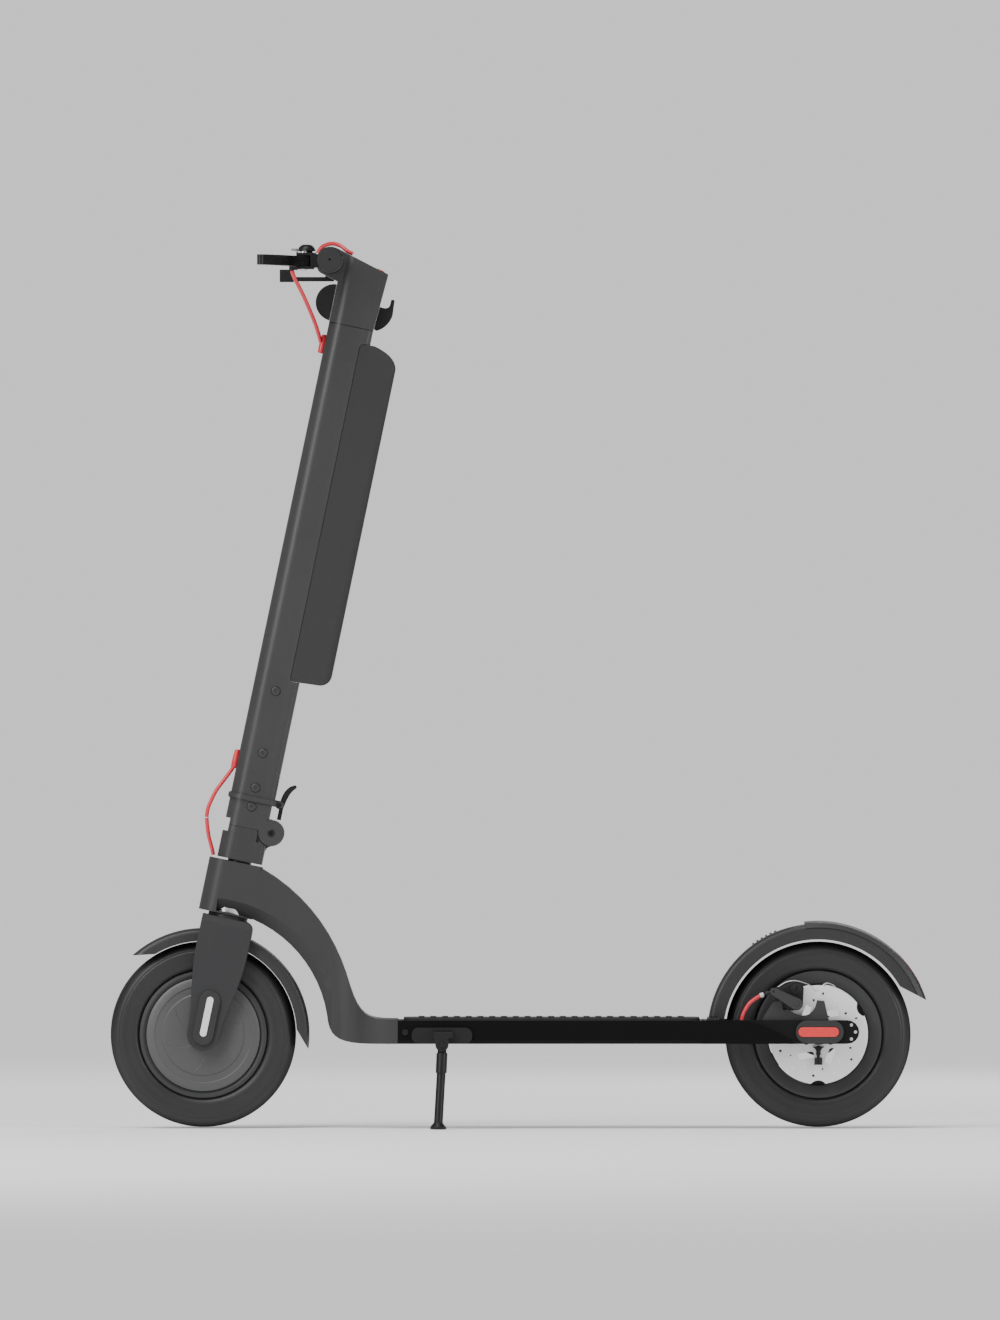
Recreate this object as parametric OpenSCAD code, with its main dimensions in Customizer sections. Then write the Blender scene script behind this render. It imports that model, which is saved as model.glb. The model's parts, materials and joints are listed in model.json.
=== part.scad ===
// Electric kick scooter with a removable battery on its folding stem.
// The scooter faces -X and stands on Z = 0 on its two tyres and its kickstand.

/* [Wheels] */
// Radius of both tyres
tyre_r = 127; // [110:1:150]
// Width of both tyres
tyre_w = 52; // [44:1:54]
// Radius of the rim flanges that hold the tyres
rim_r = 86; // [80:1:92]
// Distance between the two axles
wheelbase = 834; // [760:1:1000]
// Radius of both wheel axles
axle_r = 6; // [5:0.5:7]
// Radius of the brake disc
disc_r = 67; // [60:1:72]

/* [Steering] */
// Backward lean of the steering axis, degrees
lean = 11.8; // [8:0.1:14]
// Gap from the front tyre to the neck above and behind it
arch_gap = 43; // [40:1:60]
// Gap from the front tyre to the outside of its fender
front_fender_gap = 17; // [14:1:18]
// Length of the head tube
head_tube_l = 72; // [60:1:90]
// Radius of the steerer tube
steerer_r = 16; // [14:0.5:18]
// Thickness of each fork leg
fork_t = 12; // [10:1:14]

/* [Neck and deck] */
// Width of the deck
deck_w = 150; // [140:1:180]
// Height of the underside of the deck above the ground
deck_z = 115; // [100:1:118]
// Thickness of the deck without its mat
deck_t = 31.5; // [28:0.5:38]
// Wall of the deck tube
deck_wall = 4; // [3:0.5:5]
// Thickness of the rubber mat
mat_t = 3.5; // [2:0.5:5]
// Width of the neck at the head tube
neck_w = 58; // [54:1:66]
// Thickness of the neck where it runs down to the deck
neck_t = 40; // [32:1:48]

/* [Stem] */
// Length of the stem tube between the fold and the head
tube_l = 650; // [560:1:780]
// Depth of the stem, front to back
stem_d = 61; // [56:1:66]
// Width of the stem
stem_w = 50; // [48:1:56]
// Wall of the stem tube
stem_wall = 3; // [2:0.5:4]

/* [Handlebar] */
// Length of the handlebar over its grips
bar_l = 450; // [400:1:560]
// Radius of the handlebar under its grips
bar_r = 11.1; // [10:0.1:12]
// Radius of the handlebar in its clamp
clamp_r = 15.9; // [14:0.1:16]
// Radius of both grips
grip_r = 17; // [15:0.5:18]
// Length of each grip
grip_l = 117; // [100:1:130]

/* [Battery] */
// Length of the battery pack
pack_l = 468; // [400:1:480]
// Width of the battery pack
pack_w = 48; // [44:1:50]
// Depth of the battery cover behind the stem
pack_d = 54.5; // [50:0.5:60]
// Radius of one cell
cell_r = 9; // [8:0.5:9]
// Length of one cell
cell_l = 65; // [60:1:66]
// Number of cells along the pack
cell_rows = 6; // [4:1:6]

/* [Hidden] */
$fn = 96;
slip = 0.05;          // radial clearance of a shaft in its bore
gap = 0.3;            // clearance between pieces that only sit together
cable_r = 2.8;        // radius of the red cables

// Frame of the whole scooter
rear_fender_r = tyre_r + 23;
fender_step = 4;
tail_a = 17.5;
front_x = -(wheelbase + (rear_fender_r + fender_step) * cos(tail_a) - tyre_r) / 2;
rear_x = front_x + wheelbase;

// Heights along the steering axis, from the front axle up
arch_r = tyre_r + arch_gap;
crown_s = arch_r - 9;
crown_t = 14;
head_s = arch_r - 4;
head_top_s = head_s + head_tube_l;
base_s = head_top_s + 3;
pin_s = base_s + 45;
pin_u = stem_d / 2 + 4;
foot_s = pin_s + 45;
tube_top_s = foot_s + tube_l;
bar_s = tube_top_s + 80;
stem_front = -stem_d / 2;
bar_u = stem_front - 14.5;
pack_s = tube_top_s - 20 - pack_l;

// Neck and deck
neck_r = arch_r + neck_t;
neck_flare = 29;
neck_a0 = 18;
neck_a1 = 70.5;
deck_top = deck_z + deck_t;
deck_x0 = front_x + neck_r + 54;
deck_x1 = rear_x - rear_fender_r - 7;
arm_in = 58;
arm_out = 68;
arm_top = deck_top + 0.5;
arm_mid = (deck_z + arm_top) / 2;
arm_r = (arm_top - deck_z) / 2;
arm_end_x = rear_x + 39;
cap_t = 4;
cap_x = rear_x - 31;

// Forks, rims and brake
fork_in = tyre_w / 2 + 8;
fork_out = fork_in + fork_t;
nut_t = 5.6;
hub_y = tyre_w / 2 - 6;
disc_y = -37.5;
disc_t = 3;

// Handlebar in the scooter's frame
bar_x = front_x + bar_s * sin(lean) + bar_u * cos(lean);
bar_z = tyre_r + bar_s * cos(lean) - bar_u * sin(lean);
lever_y = -(bar_l / 2 - grip_l) + 14;
throttle_y = bar_l / 2 - grip_l - 14;
top_slope = 15;

// Kickstand
stand_x = deck_x0 + 60;
stand_z = deck_z - 1;
stand_y = -deck_w / 2 - 12.5;

// Battery, across the stem
seam_u = 17;
pack_rear_u = seam_u + pack_d;
cell_pitch = 2 * cell_r + 1;
cell_columns = floor((pack_d + 7.5) / cell_pitch);

// ---- Points and curves ----

// A point at radius r and angle a
function polar(r, a) = [r * cos(a), r * sin(a)];

// Points along an arc about c
function arc(c, r, a0, a1, n = 8) =
    [for (i = [0:n]) c + polar(r, a0 + (a1 - a0) * i / n)];

// Points along a cubic curve, without its first point
function curve(p, n = 8) =
    [for (i = [1:n]) let (t = i / n, k = 1 - t)
        k * k * k * p[0] + 3 * k * k * t * p[1] + 3 * k * t * t * p[2] + t * t * t * p[3]];

// A rectangle about the X axis with rounded ends: radius r0 at x0, r1 at x1
function slab(x0, x1, half_w, r0, r1) = concat(
    arc([x1 - r1, half_w - r1], r1, 0, 90),
    arc([x0 + r0, half_w - r0], r0, 90, 180),
    arc([x0 + r0, r0 - half_w], r0, 180, 270),
    arc([x1 - r1, r1 - half_w], r1, 270, 360));

// A profile in radius and Y, with its mirror image in Y
function both_sides(p) = concat(p, [for (i = [len(p) - 1:-1:0]) [p[i][0], -p[i][1]]]);

// ---- Frames of reference ----

module at_front_axle() translate([front_x, 0, tyre_r]) children();
module at_rear_axle() translate([rear_x, 0, tyre_r]) children();
module on_stem() at_front_axle() rotate([0, lean, 0]) children();
module on_bar() translate([bar_x, 0, bar_z]) children();
module on_pin() on_stem() translate([pin_u, 0, pin_s]) children();
module both() for (side = [-1, 1]) scale_y(side) children();
module scale_y(side) mirror([0, side < 0 ? 1 : 0, 0]) children();

// Turns a profile in radius and Y about the Y axis, from angle a0 to a1 in the XZ plane
module spin_y(a0 = 0, a1 = 360)
    rotate([90, 0, 0]) rotate([0, 0, a0]) rotate_extrude(angle = a1 - a0) children();

// An XZ outline with a thickness from y0 to y1
module plate_y(y0, y1)
    translate([0, y1, 0]) rotate([90, 0, 0]) linear_extrude(y1 - y0) children();

// A round bar along Y
module rod_y(r, y0, y1) translate([0, y0, 0]) rotate([-90, 0, 0]) cylinder(r = r, h = y1 - y0);

// A ring along Y
module ring_y(r0, r1, y0, y1) difference() {
    rod_y(r1, y0, y1);
    rod_y(r0, y0 - 1, y1 + 1);
}

// A hexagon nut along Y on an axle
module nut_y(across, y0, y1) difference() {
    translate([0, y0, 0]) rotate([-90, 0, 0])
        cylinder(r = across / sqrt(3), h = y1 - y0, $fn = 6);
    rod_y(axle_r + slip, y0 - 1, y1 + 1);
}

// A screw head with a hexagon socket, facing +Z
module screw(head_r, head_h) difference() {
    cylinder(r = head_r, h = head_h, $fn = 32);
    translate([0, 0, head_h / 2]) cylinder(r = head_r / 2, h = head_h, $fn = 6);
}

// ---- Swept cables ----

function unit(v) = v / norm(v);

// Direction of a route at point i
function along(p, i) = unit(p[min(i + 1, len(p) - 1)] - p[max(i - 1, 0)]);

// Ring of corners about point i, square to the route
function ring_at(p, i, r, sides) =
    let (d = along(p, i),
         across = unit(cross(d, abs(d[1]) < 0.9 ? [0, 1, 0] : [1, 0, 0])),
         up = cross(d, across))
    [for (k = [0:sides - 1]) p[i] + r * (across * cos(360 * k / sides) + up * sin(360 * k / sides))];

// Smooth route through chosen points, with n steps between two of them
function smooth(p, n) = concat(
    [for (i = [0:len(p) - 2]) for (j = [0:n - 1])
        let (t = j / n,
             a = p[max(i - 1, 0)], b = p[i], c = p[i + 1], d = p[min(i + 2, len(p) - 1)])
        0.5 * (2 * b + (c - a) * t + (2 * a - 5 * b + 4 * c - d) * t * t
            + (3 * b - a - 3 * c + d) * t * t * t)],
    [p[len(p) - 1]]);

// One closed tube along a route
module tube(p, r, sides = 8) {
    last = len(p) - 1;
    corners = [for (i = [0:last]) each ring_at(p, i, r, sides)];
    walls = [for (i = [0:last - 1]) for (k = [0:sides - 1])
        let (a = i * sides + k, b = i * sides + (k + 1) % sides)
        [a, b, b + sides, a + sides]];
    ends = [[for (k = [sides - 1:-1:0]) k], [for (k = [0:sides - 1]) last * sides + k]];
    polyhedron(corners, concat(walls, ends));
}

// Routes: across the bar in the bar's frame, the loop in the stem's frame,
// the rear cable in the rear axle's frame
brake_route = [[-52, -71, -13], [-48, -69, -24], [-36, -54, -48], [-21, -20, -84], [-12.6, 0, -112]];
bar_route = [[-20, 60, 6], [-18, 46, 13], [-11, 34, 22], [2, 24, 25.5], [14, 16, 22], [22, 12, 15.5],
    [30, 10, 11.5]];
loop_route_upper = [for (p = [[-3.4, foot_s + 55], [-3.4, foot_s + 35], [-10.5, foot_s + 17],
    [-20.3, foot_s - 4.5], [-25.8, pin_s + 17], [-25.4, pin_s + 3.5]]) [stem_front + p[0], 0, p[1]]];
loop_route_lower = [[stem_front - 25.2, 0, pin_s + 2.5], [stem_front - 18.5, 0, pin_s - 18.5],
    [stem_front - 10.5, 0, head_top_s + 13], [-36.5, 0, head_top_s + 3]];
rear_route = [[-104, -50, 20], [-101, -50, 30], [-93, -50, 43], [-79, -50, 53]];

// ---- Wheels ----

// Half of a tyre's outline, from the bead to the crown
function tyre_side() = let (w = tyre_w / 2) concat(
    [[rim_r - 5.7, w - 14], [rim_r - 5.7, w - 9.3], [rim_r + 0.4, w - 9.3]],
    curve([[rim_r + 0.4, w - 9.3], [rim_r + 9, w + 3], [tyre_r - 15, w + 2.5], [tyre_r - 5, w - 5]]),
    [[tyre_r - 2.5, w - 9], [tyre_r - 0.7, w - 13], [tyre_r, w - 17]]);

// Half of the air space inside a tyre, open to the rim
function tyre_hollow() = let (w = tyre_w / 2) [
    [rim_r - 6, w - 14], [rim_r + 4, w - 14], [rim_r + 12, w - 7], [tyre_r - 20, w - 6],
    [tyre_r - 11, w - 10], [tyre_r - 8, w - 16]];

module tyre() color("#161616") spin_y() difference() {
    polygon(both_sides(tyre_side()));
    polygon(both_sides(tyre_hollow()));
}

module front_tyre() at_front_axle() tyre();
module rear_tyre() at_rear_axle() tyre();

// Half of a rim's outer rim, from the barrel to the flange
function rim_side() = let (w = tyre_w / 2) [
    [rim_r - 6, 0], [rim_r - 6, w - 9], [rim_r, w - 9], [rim_r, w - 5], [rim_r - 4, w - 4]];

// Drum of the hub motor, which is also the front rim
module motor_shell() color("#3a3a3c") at_front_axle() spin_y()
    polygon(both_sides(concat([[rim_r - 24, 0], [rim_r - 24, hub_y]],
        [[rim_r - 8.5, hub_y], [rim_r - 8.5, tyre_w / 2 - 5.5], [rim_r - 4, tyre_w / 2 - 4]],
        [[rim_r, tyre_w / 2 - 5], [rim_r, tyre_w / 2 - 9], [rim_r - 6, tyre_w / 2 - 9],
         [rim_r - 6, 0]])));

// Both side covers of the hub motor, each with a sunk ring
module motor_covers() color("#4a4a4d") at_front_axle() both() spin_y()
    polygon([[16 + slip, hub_y], [rim_r - 9, hub_y], [rim_r - 9, hub_y + 4],
        [rim_r - 13, hub_y + 6], [rim_r - 20, hub_y + 7], [rim_r - 21, hub_y + 6],
        [rim_r - 30, hub_y + 6], [rim_r - 31, hub_y + 7.5], [16 + slip, hub_y + 7.5]]);

// Two ball bearings, drawn as closed rings
module bearing_pair(y0, r = 16, w = 8)
    both() ring_y(axle_r + slip, r, y0, y0 + w);

module front_bearings() color("silver") at_front_axle() bearing_pair(hub_y - 1);
module rear_bearings() color("silver") at_rear_axle() bearing_pair(15, 14);

// Iron core of the hub motor with its winding slots
module motor_stator() color("#a3662a") at_front_axle() difference() {
    rod_y(rim_r - 26, 3 - hub_y + 5, hub_y - 8);
    rod_y(axle_r + slip, -hub_y, hub_y);
    for (i = [0:17]) rotate([0, i * 20, 0]) translate([rim_r - 34, 0, 0])
        rod_y(3.5, -hub_y, hub_y);
}

module front_axle() color("silver") at_front_axle() {
    rod_y(axle_r, 0.2 - fork_out, fork_out - 0.2);
    both() nut_y(19, fork_out - nut_t - 0.2, fork_out - 0.2);
}

module rear_axle() color("silver") at_rear_axle() {
    rod_y(axle_r, 0.2 - arm_out, arm_out - 0.2);
    both() nut_y(19, arm_out - nut_t - 0.2, arm_out - 0.2);
    both() ring_y(axle_r + slip, 9, 23, arm_in);
}

// Rear rim with a dished web and a hub that carries the brake disc
module rear_rim() color("#3f3f41") at_rear_axle() difference() {
    union() {
        spin_y() polygon(both_sides(concat(rim_side(),
            [[rim_r - 17, tyre_w / 2 - 6], [rim_r - 18, tyre_w / 2 - 9], [rim_r - 11, 6],
             [rim_r - 11, 0]])));
        rod_y(rim_r - 10, -5, 5);
        rod_y(24, disc_y + disc_t / 2, 26);
    }
    rod_y(14, -60, -15);
    rod_y(14, 15, 60);
    rod_y(9, -20, 20);
    for (i = [0:5]) rotate([0, i * 60, 0]) plate_y(-8, 8) polygon(concat(
        arc([0, 0], rim_r - 14, -22, 22), arc([0, 0], 29, 20, -20)));
}

// Vented brake disc with three notches in its edge
module brake_disc() color("#d8d8da") at_rear_axle() difference() {
    rod_y(disc_r, disc_y - disc_t / 2, disc_y + disc_t / 2);
    translate([0, disc_y, 0]) {
        rod_y(14, -disc_t, disc_t);
        for (i = [0:2]) rotate([0, 90 + i * 120, 0])
            translate([disc_r + 8, 0, 0]) rod_y(13, -disc_t, disc_t);
        for (i = [0:5]) rotate([0, i * 60, 0]) translate([33, 0, 0]) window();
        for (i = [0:23]) rotate([0, i * 15 + 7, 0])
            translate([disc_r - (i % 2 == 0 ? 11 : 20), 0, 0]) rod_y(1.8, -disc_t, disc_t);
    }
    on_disc_bolts() rod_y(2.5, -70, 20);
}

// One long opening in the brake disc
module window() rotate([0, 50, 0]) plate_y(-disc_t, disc_t) polygon(slab(-11, 11, 4.5, 4.4, 1.5));

module on_disc_bolts() for (i = [0:5]) rotate([0, i * 60 + 30, 0]) translate([19, 0, 0]) children();

module disc_bolts() color("#222222") at_rear_axle() on_disc_bolts() {
    rod_y(4.2, disc_y - disc_t / 2 - 3, disc_y - disc_t / 2);
    rod_y(2.4, disc_y - disc_t / 2, disc_y + disc_t / 2);
}

// Tyre valve that stands out beside the hub, with its cap
module rear_valve() color("#2a2a2a") at_rear_axle() translate([0, disc_y - 8, 0]) {
    rotate([180, 0, 0]) {
        plate_y(-3.4, 3.4) polygon([[-8.5, 16], [8.5, 16], [2.5, 20.5], [-2.5, 20.5]]);
        translate([0, 0, 20]) cylinder(r = 2, h = 12);
        translate([0, 0, 22.5]) cylinder(r = 3.1, h = 5);
        translate([0, 0, 31.2]) cylinder(r1 = 5.2, r2 = 5.6, h = 9.5);
    }
    translate([0, 0, -25.8]) rod_y(2, 0, 6.5);
}

// ---- Fork and front fender ----

// Side view of a fork leg, from the axle up to the crown
function leg_outline() = concat(
    arc([0, 0], 22, 180, 360),
    curve([[22, 0], [23, 40], [37, 70], [37, crown_s - 45]]),
    [[37, crown_s - 14]],
    arc([25, crown_s - 12], 12, 0, 90),
    [[-34, crown_s]],
    [[-34, crown_s - 45]],
    curve([[-34, crown_s - 45], [-33, 70], [-22, 40], [-22, 0]]));

module fork() color("#2c2c2e") on_stem() difference() {
    union() {
        both() plate_y(fork_in, fork_out) polygon(leg_outline());
        intersection() {
            plate_y(-fork_out, fork_out) polygon(leg_outline());
            translate([-60, -60, crown_s - crown_t]) cube([120, 120, crown_t]);
        }
        cylinder(r = steerer_r + 11, h = head_s - gap);
        cylinder(r = steerer_r, h = pin_s - 14);
    }
    // Room for the wheel below the crown
    translate([-60, -fork_in, -60]) cube([120, 2 * fork_in, crown_s - crown_t + 60]);
    // Hollow steerer
    translate([0, 0, crown_s + 2]) cylinder(r = steerer_r - 3, h = pin_s);
    // Outer edges of the crown
    both() translate([-60, fork_out, crown_s - 8]) rotate([45, 0, 0]) cube([120, 20, 20]);
    rod_y(axle_r + slip, -80, 80);
    both() rod_y(12, fork_out - nut_t - 0.4, fork_out + 1);
}

// Oval cover over each end of the front axle, with a seat for its reflector
module fork_caps() color("#1d1d1f") on_stem() both() difference() {
    plate_y(fork_out, fork_out + cap_t) rotate(90) polygon(slab(-14, 61, 14, 13.9, 13.9));
    plate_y(fork_out + cap_t - 1.5, fork_out + cap_t + 1)
        rotate(90) polygon(slab(-3, 53, 5, 4.9, 4.9));
}

module front_reflectors() color("white") on_stem() both()
    plate_y(fork_out + cap_t - 1.5, fork_out + cap_t + 0.5)
        rotate(90) polygon(slab(-2.5, 52.5, 4.6, 4.5, 4.5));

// Section of a fender in radius and Y: outer radius, half width, wall, depth of the skirts
module fender_section(r, half_w, wall, skirt) polygon(both_sides([
    [r, 0], [r, half_w - 9], [r - 3, half_w - 3], [r - 9, half_w], [r - skirt, half_w],
    [r - skirt, half_w - wall], [r - 9, half_w - wall], [r - wall - 2, half_w - 5],
    [r - wall, half_w - 10], [r - wall, 0]]));

// Fender over the front wheel, with both ends cut slantwise to a tip
module front_fender() color("#1b1b1c") at_front_axle() difference() {
    r = tyre_r + front_fender_gap;
    spin_y(-8, 132) fender_section(r, tyre_w / 2 + 5.5, 2.5, 17);
    plate_y(-50, 50) polygon([polar(r + 0.2, 132), polar(r - 20, 118), polar(r - 40, 140), polar(r + 5, 140)]);
    plate_y(-50, 50) polygon([polar(r + 0.2, -8), polar(r + 5, -15), polar(r - 40, -15), polar(r - 20, 6)]);
}

// ---- Neck, deck and rear fork ----

// Side view of the neck about the front axle, down to the deck
function neck_outline() = let (
    top = deck_top + 1.5 - tyre_r,
    low = deck_z - tyre_r,
    end = deck_x0 - front_x,
    a = polar(neck_r, neck_a0),
    b = polar(arch_r, 6))
    concat(
        [for (i = [0:10]) let (t = 1 - i / 10)
            polar(neck_r + neck_flare * pow(t, 1.4), neck_a0 + (neck_a1 - neck_a0) * t)],
        curve([a, a + [12, -38], [neck_r + 13, top], [neck_r + 46, top]]),
        [[end, top], [end, low], [arch_r + 56, low]],
        curve([[arch_r + 56, low], [arch_r + 20, low], b + [4, -24], b]),
        arc([0, 0], arch_r, 9, 72, 12));

// Half width of the neck's plan, which flares out to the deck
function neck_plan() = let (x = neck_r + front_x) concat(
    [[front_x, -neck_w / 2]],
    [[x - 40, -neck_w / 2]],
    curve([[x - 40, -neck_w / 2], [x + 10, -neck_w / 2], [x, -deck_w / 2], [deck_x0, -deck_w / 2]]),
    [[deck_x0, deck_w / 2]],
    curve([[deck_x0, deck_w / 2], [x, deck_w / 2], [x + 10, neck_w / 2], [x - 40, neck_w / 2]]),
    [[front_x, neck_w / 2]]);

module neck_frame() color("#2f2f31") difference() {
    union() {
        intersection() {
            at_front_axle() plate_y(-100, 100) polygon(neck_outline());
            linear_extrude(500) polygon(neck_plan());
        }
        on_stem() translate([0, 0, head_s])
            linear_extrude(head_tube_l) polygon(slab(-41, 33, neck_w / 2 - 0.05, 24, 4));
        // Spigot inside the deck tube
        translate([deck_x0 - 1, -deck_w / 2 + deck_wall + gap, deck_z + deck_wall + gap])
            cube([26, deck_w - 2 * (deck_wall + gap), deck_t - 2 * (deck_wall + gap)]);
    }
    // Sloped lower edge behind the wheel
    at_front_axle() both() spin_y(0, 84) polygon([[arch_r - 1, neck_w / 2 - 11],
        [arch_r + 17, neck_w / 2 + 0.5], [arch_r - 1, neck_w / 2 + 0.5]]);
    on_stem() {
        translate([0, 0, head_s - 20]) cylinder(r = steerer_r + 3, h = head_tube_l + 40);
        translate([0, 0, head_s - 20]) cylinder(r = steerer_r + 7, h = 30);
        translate([0, 0, head_top_s - 10]) cylinder(r = steerer_r + 7, h = 30);
        translate([-70, -60, head_s - 40]) cube([105, 120, 40]);
    }
}

// Ball bearings at both ends of the head tube
module headset_bearings() color("silver") on_stem()
    for (s = [head_s, head_top_s - 9]) translate([0, 0, s]) difference() {
        cylinder(r = steerer_r + 7 - slip, h = 9);
        translate([0, 0, -1]) cylinder(r = steerer_r + slip, h = 12);
    }

// Hollow of the deck tube
module deck_hollow(x0, x1, room = 0)
    translate([x0, -deck_w / 2 + deck_wall + room, deck_z + deck_wall + room])
        cube([x1 - x0, deck_w - 2 * (deck_wall + room), deck_t - 2 * (deck_wall + room)]);

// Deck tube, with a tongue on each side that runs back over the rear fork
module deck_shell() color("#0e0e0f") difference() {
    union() {
        translate([deck_x0, 0, 0]) rotate([90, 0, 90]) linear_extrude(deck_x1 - deck_x0)
            polygon([[5 - deck_w / 2, deck_z], [deck_w / 2 - 5, deck_z],
                [deck_w / 2, deck_z + 5], [deck_w / 2, deck_top],
                [-deck_w / 2, deck_top], [-deck_w / 2, deck_z + 5]]);
        both() plate_y(arm_out + gap, deck_w / 2) polygon(tongue_outline());
    }
    deck_hollow(deck_x0 - 1, deck_x1);
}

// Side view of a tongue, from inside the deck's wall back to its tip
function tongue_outline() = let (x = deck_x1, tip = cap_x - 3) concat(
    [[x - 1, deck_z], [x - 1, deck_top], [x + 40, deck_top]],
    curve([[x + 40, deck_top], [x + 80, deck_top - 3], [tip - 22, deck_z + 14], [tip, deck_z + 1]]),
    [[tip, deck_z]]);

// Rubber mat with rows of raised studs
module deck_mat() color("#1a1a1a") {
    x0 = deck_x0 + 8;
    x1 = deck_x1 - 4;
    translate([x0, 0, deck_top]) linear_extrude(mat_t)
        polygon(slab(0, x1 - x0, deck_w / 2 - 4, 14, 14));
    for (x = [x0 + 24:16:x1 - 24]) for (y = [-50:20:50])
        translate([x, y, deck_top + mat_t]) cylinder(r = 4, h = 1.2, $fn = 16);
}

// Rear fork: a block that closes the deck tube, and two arms beside the wheel
module rear_fork() color("#323234") difference() {
    union() {
        translate([deck_x1 - 34, -arm_out, deck_z + deck_wall + gap])
            cube([37, 2 * arm_out, deck_t - 2 * (deck_wall + gap)]);
        translate([deck_x1, -arm_out, deck_z]) cube([6, 2 * arm_out, arm_top - deck_z]);
        both() plate_y(arm_in, arm_out) polygon(concat([[deck_x1, arm_top], [deck_x1, deck_z]],
            arc([arm_end_x, arm_mid], arm_r, -90, 90)));
    }
    at_rear_axle() {
        rod_y(axle_r + slip, -100, 100);
        both() rod_y(12, arm_out - nut_t - 0.4, arm_out + 1);
    }
    for (a = [-60, 0, 60]) translate([arm_end_x, 0, arm_mid])
        rotate([0, a, 0]) translate([arm_r - 5, 0, 0]) rod_y(2.2, -100, 100);
}

// Oval cover over each end of the rear axle, with a seat for its reflector
module axle_caps() color("#2a2a2c") translate([rear_x, 0, arm_mid]) both() difference() {
    plate_y(arm_out, arm_out + cap_t) polygon(slab(cap_x - rear_x, 34, arm_r - 0.5, arm_r - 0.7, arm_r - 0.7));
    plate_y(arm_out + cap_t - 1.5, arm_out + cap_t + 1) polygon(slab(-28, 28, 7, 6.9, 6.9));
}

module rear_reflectors() color("red") translate([rear_x, 0, arm_mid]) both()
    plate_y(arm_out + cap_t - 1.5, arm_out + cap_t + 0.5) polygon(slab(-27.5, 27.5, 6.6, 6.5, 6.5));

// Rear fender with a raised rear half, a cut tail and a foot that sits on the rear fork
module rear_fender() color("#262628") {
    at_rear_axle() difference() {
        union() {
            spin_y(tail_a, 171) fender_section(rear_fender_r, 34, 3, 21);
            // Higher rear part, behind the step
            spin_y(tail_a, 97) polygon(both_sides(let (r = rear_fender_r) [
                [r + fender_step, 0], [r + fender_step, 25], [r + fender_step - 3, 31], [r - 5, 33.5],
                [r - 5, 32], [r - 1.5, 24], [r - 1.5, 0]]));
            // Grip ribs
            for (a = [112:2.6:125]) spin_y(a, a + 1.2)
                polygon([[rear_fender_r - 1, -22], [rear_fender_r + 2, -20],
                    [rear_fender_r + 2, 20], [rear_fender_r - 1, 22]]);
        }
        plate_y(-50, 50) polygon([polar(rear_fender_r + fender_step + 0.3, tail_a),
            polar(rear_fender_r - 22, 31), polar(rear_fender_r - 32, 10), [200, 0]]);
        // Seat of the tail light
        spin_y(25, 46) polygon([[rear_fender_r + fender_step - 1.5, -14],
            [rear_fender_r + 10, -14], [rear_fender_r + 10, 14], [rear_fender_r + fender_step - 1.5, 14]]);
    }
    difference() {
        translate([deck_x1 + 7, -64, arm_top]) cube([16, 128, 3]);
        at_rear_axle() rod_y(rear_fender_r - 12, -32.5, 32.5);
    }
}

module tail_light() color("red") at_rear_axle() spin_y(25.3, 45.7) polygon([
    [rear_fender_r + fender_step - 1.4, -13.6], [rear_fender_r + fender_step + 0.4, -13.6],
    [rear_fender_r + fender_step + 0.4, 13.6], [rear_fender_r + fender_step - 1.4, 13.6]]);

// Motor controller, fixed inside the deck
module controller() color("#7d7f83")
    translate([deck_x0 + 60, -35, deck_z + deck_wall])
        for (part = [0:1]) translate([part * 2.5, part * 2.5, part * 16])
            cube([150 - part * 5, 70 - part * 5, part == 0 ? 16 : 3]);

// Button-head screws: fender foot, caliper bracket, and deck to neck
module frame_screws() color("#8a8a8c") {
    both() translate([deck_x1 + 15, 56, arm_top + 3]) screw(4.5, 2.8);
    both() translate([deck_x0 + 10, deck_w / 2, deck_z + deck_t / 2])
        rotate([-90, 0, 0]) screw(4, 1.6);
}

// ---- Rear brake ----

module caliper_bracket() color("#58585b") at_rear_axle() difference() {
    plate_y(-arm_in, -arm_in + 6) polygon(concat(
        [[-78, -8], [12, -8], [14, arm_top - tyre_r], [8, 46], [-2, 47]],
        curve([[-2, 47], [-6, 22], [-24, 22], [-40, 34]]),
        [[-48, 34], [-50, 46], [-62, 44], [-76, 22]]));
    rod_y(11, -80, 0);
}

// Caliper housing over the edge of the disc
module caliper_body() color("#1f1f20") at_rear_axle() difference() {
    union() {
        plate_y(-arm_in + 6, -29) hull() {
            translate([-56, 52]) circle(r = 8, $fn = 32);
            translate([-30, 62]) circle(r = 10, $fn = 32);
            translate([-30, 42]) circle(r = 9, $fn = 32);
            translate([-50, 40]) circle(r = 6, $fn = 32);
        }
        translate([-30, 0, 42]) rod_y(8, -arm_in - 8, -arm_in + 6);
        translate([-30, 0, 62]) rod_y(7, -arm_in - 2, -arm_in + 6);
    }
    plate_y(disc_y - 4, disc_y + 4) circle(r = disc_r + 3);
    plate_y(-100, -20) circle(r = 30);
    translate([-30, 0, 42]) rod_y(3 + slip, -80, -arm_in + 3);
}

// Arm that the brake cable pulls, on a pin in the caliper
module caliper_arm() color("#4b4b4d") at_rear_axle() translate([-30, 0, 42]) {
    rod_y(3, -arm_in - 13, -arm_in + 2.5);
    plate_y(-arm_in - 12, -arm_in - 8 - gap) difference() {
        hull() {
            circle(r = 8, $fn = 32);
            translate([-31, 17]) circle(r = 5, $fn = 32);
        }
        translate([-31, 17]) circle(r = 1.6, $fn = 32);
    }
}

module rear_cable() color("#cc2a32") at_rear_axle() tube(smooth(rear_route, 3), cable_r);

// ---- Kickstand ----

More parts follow.
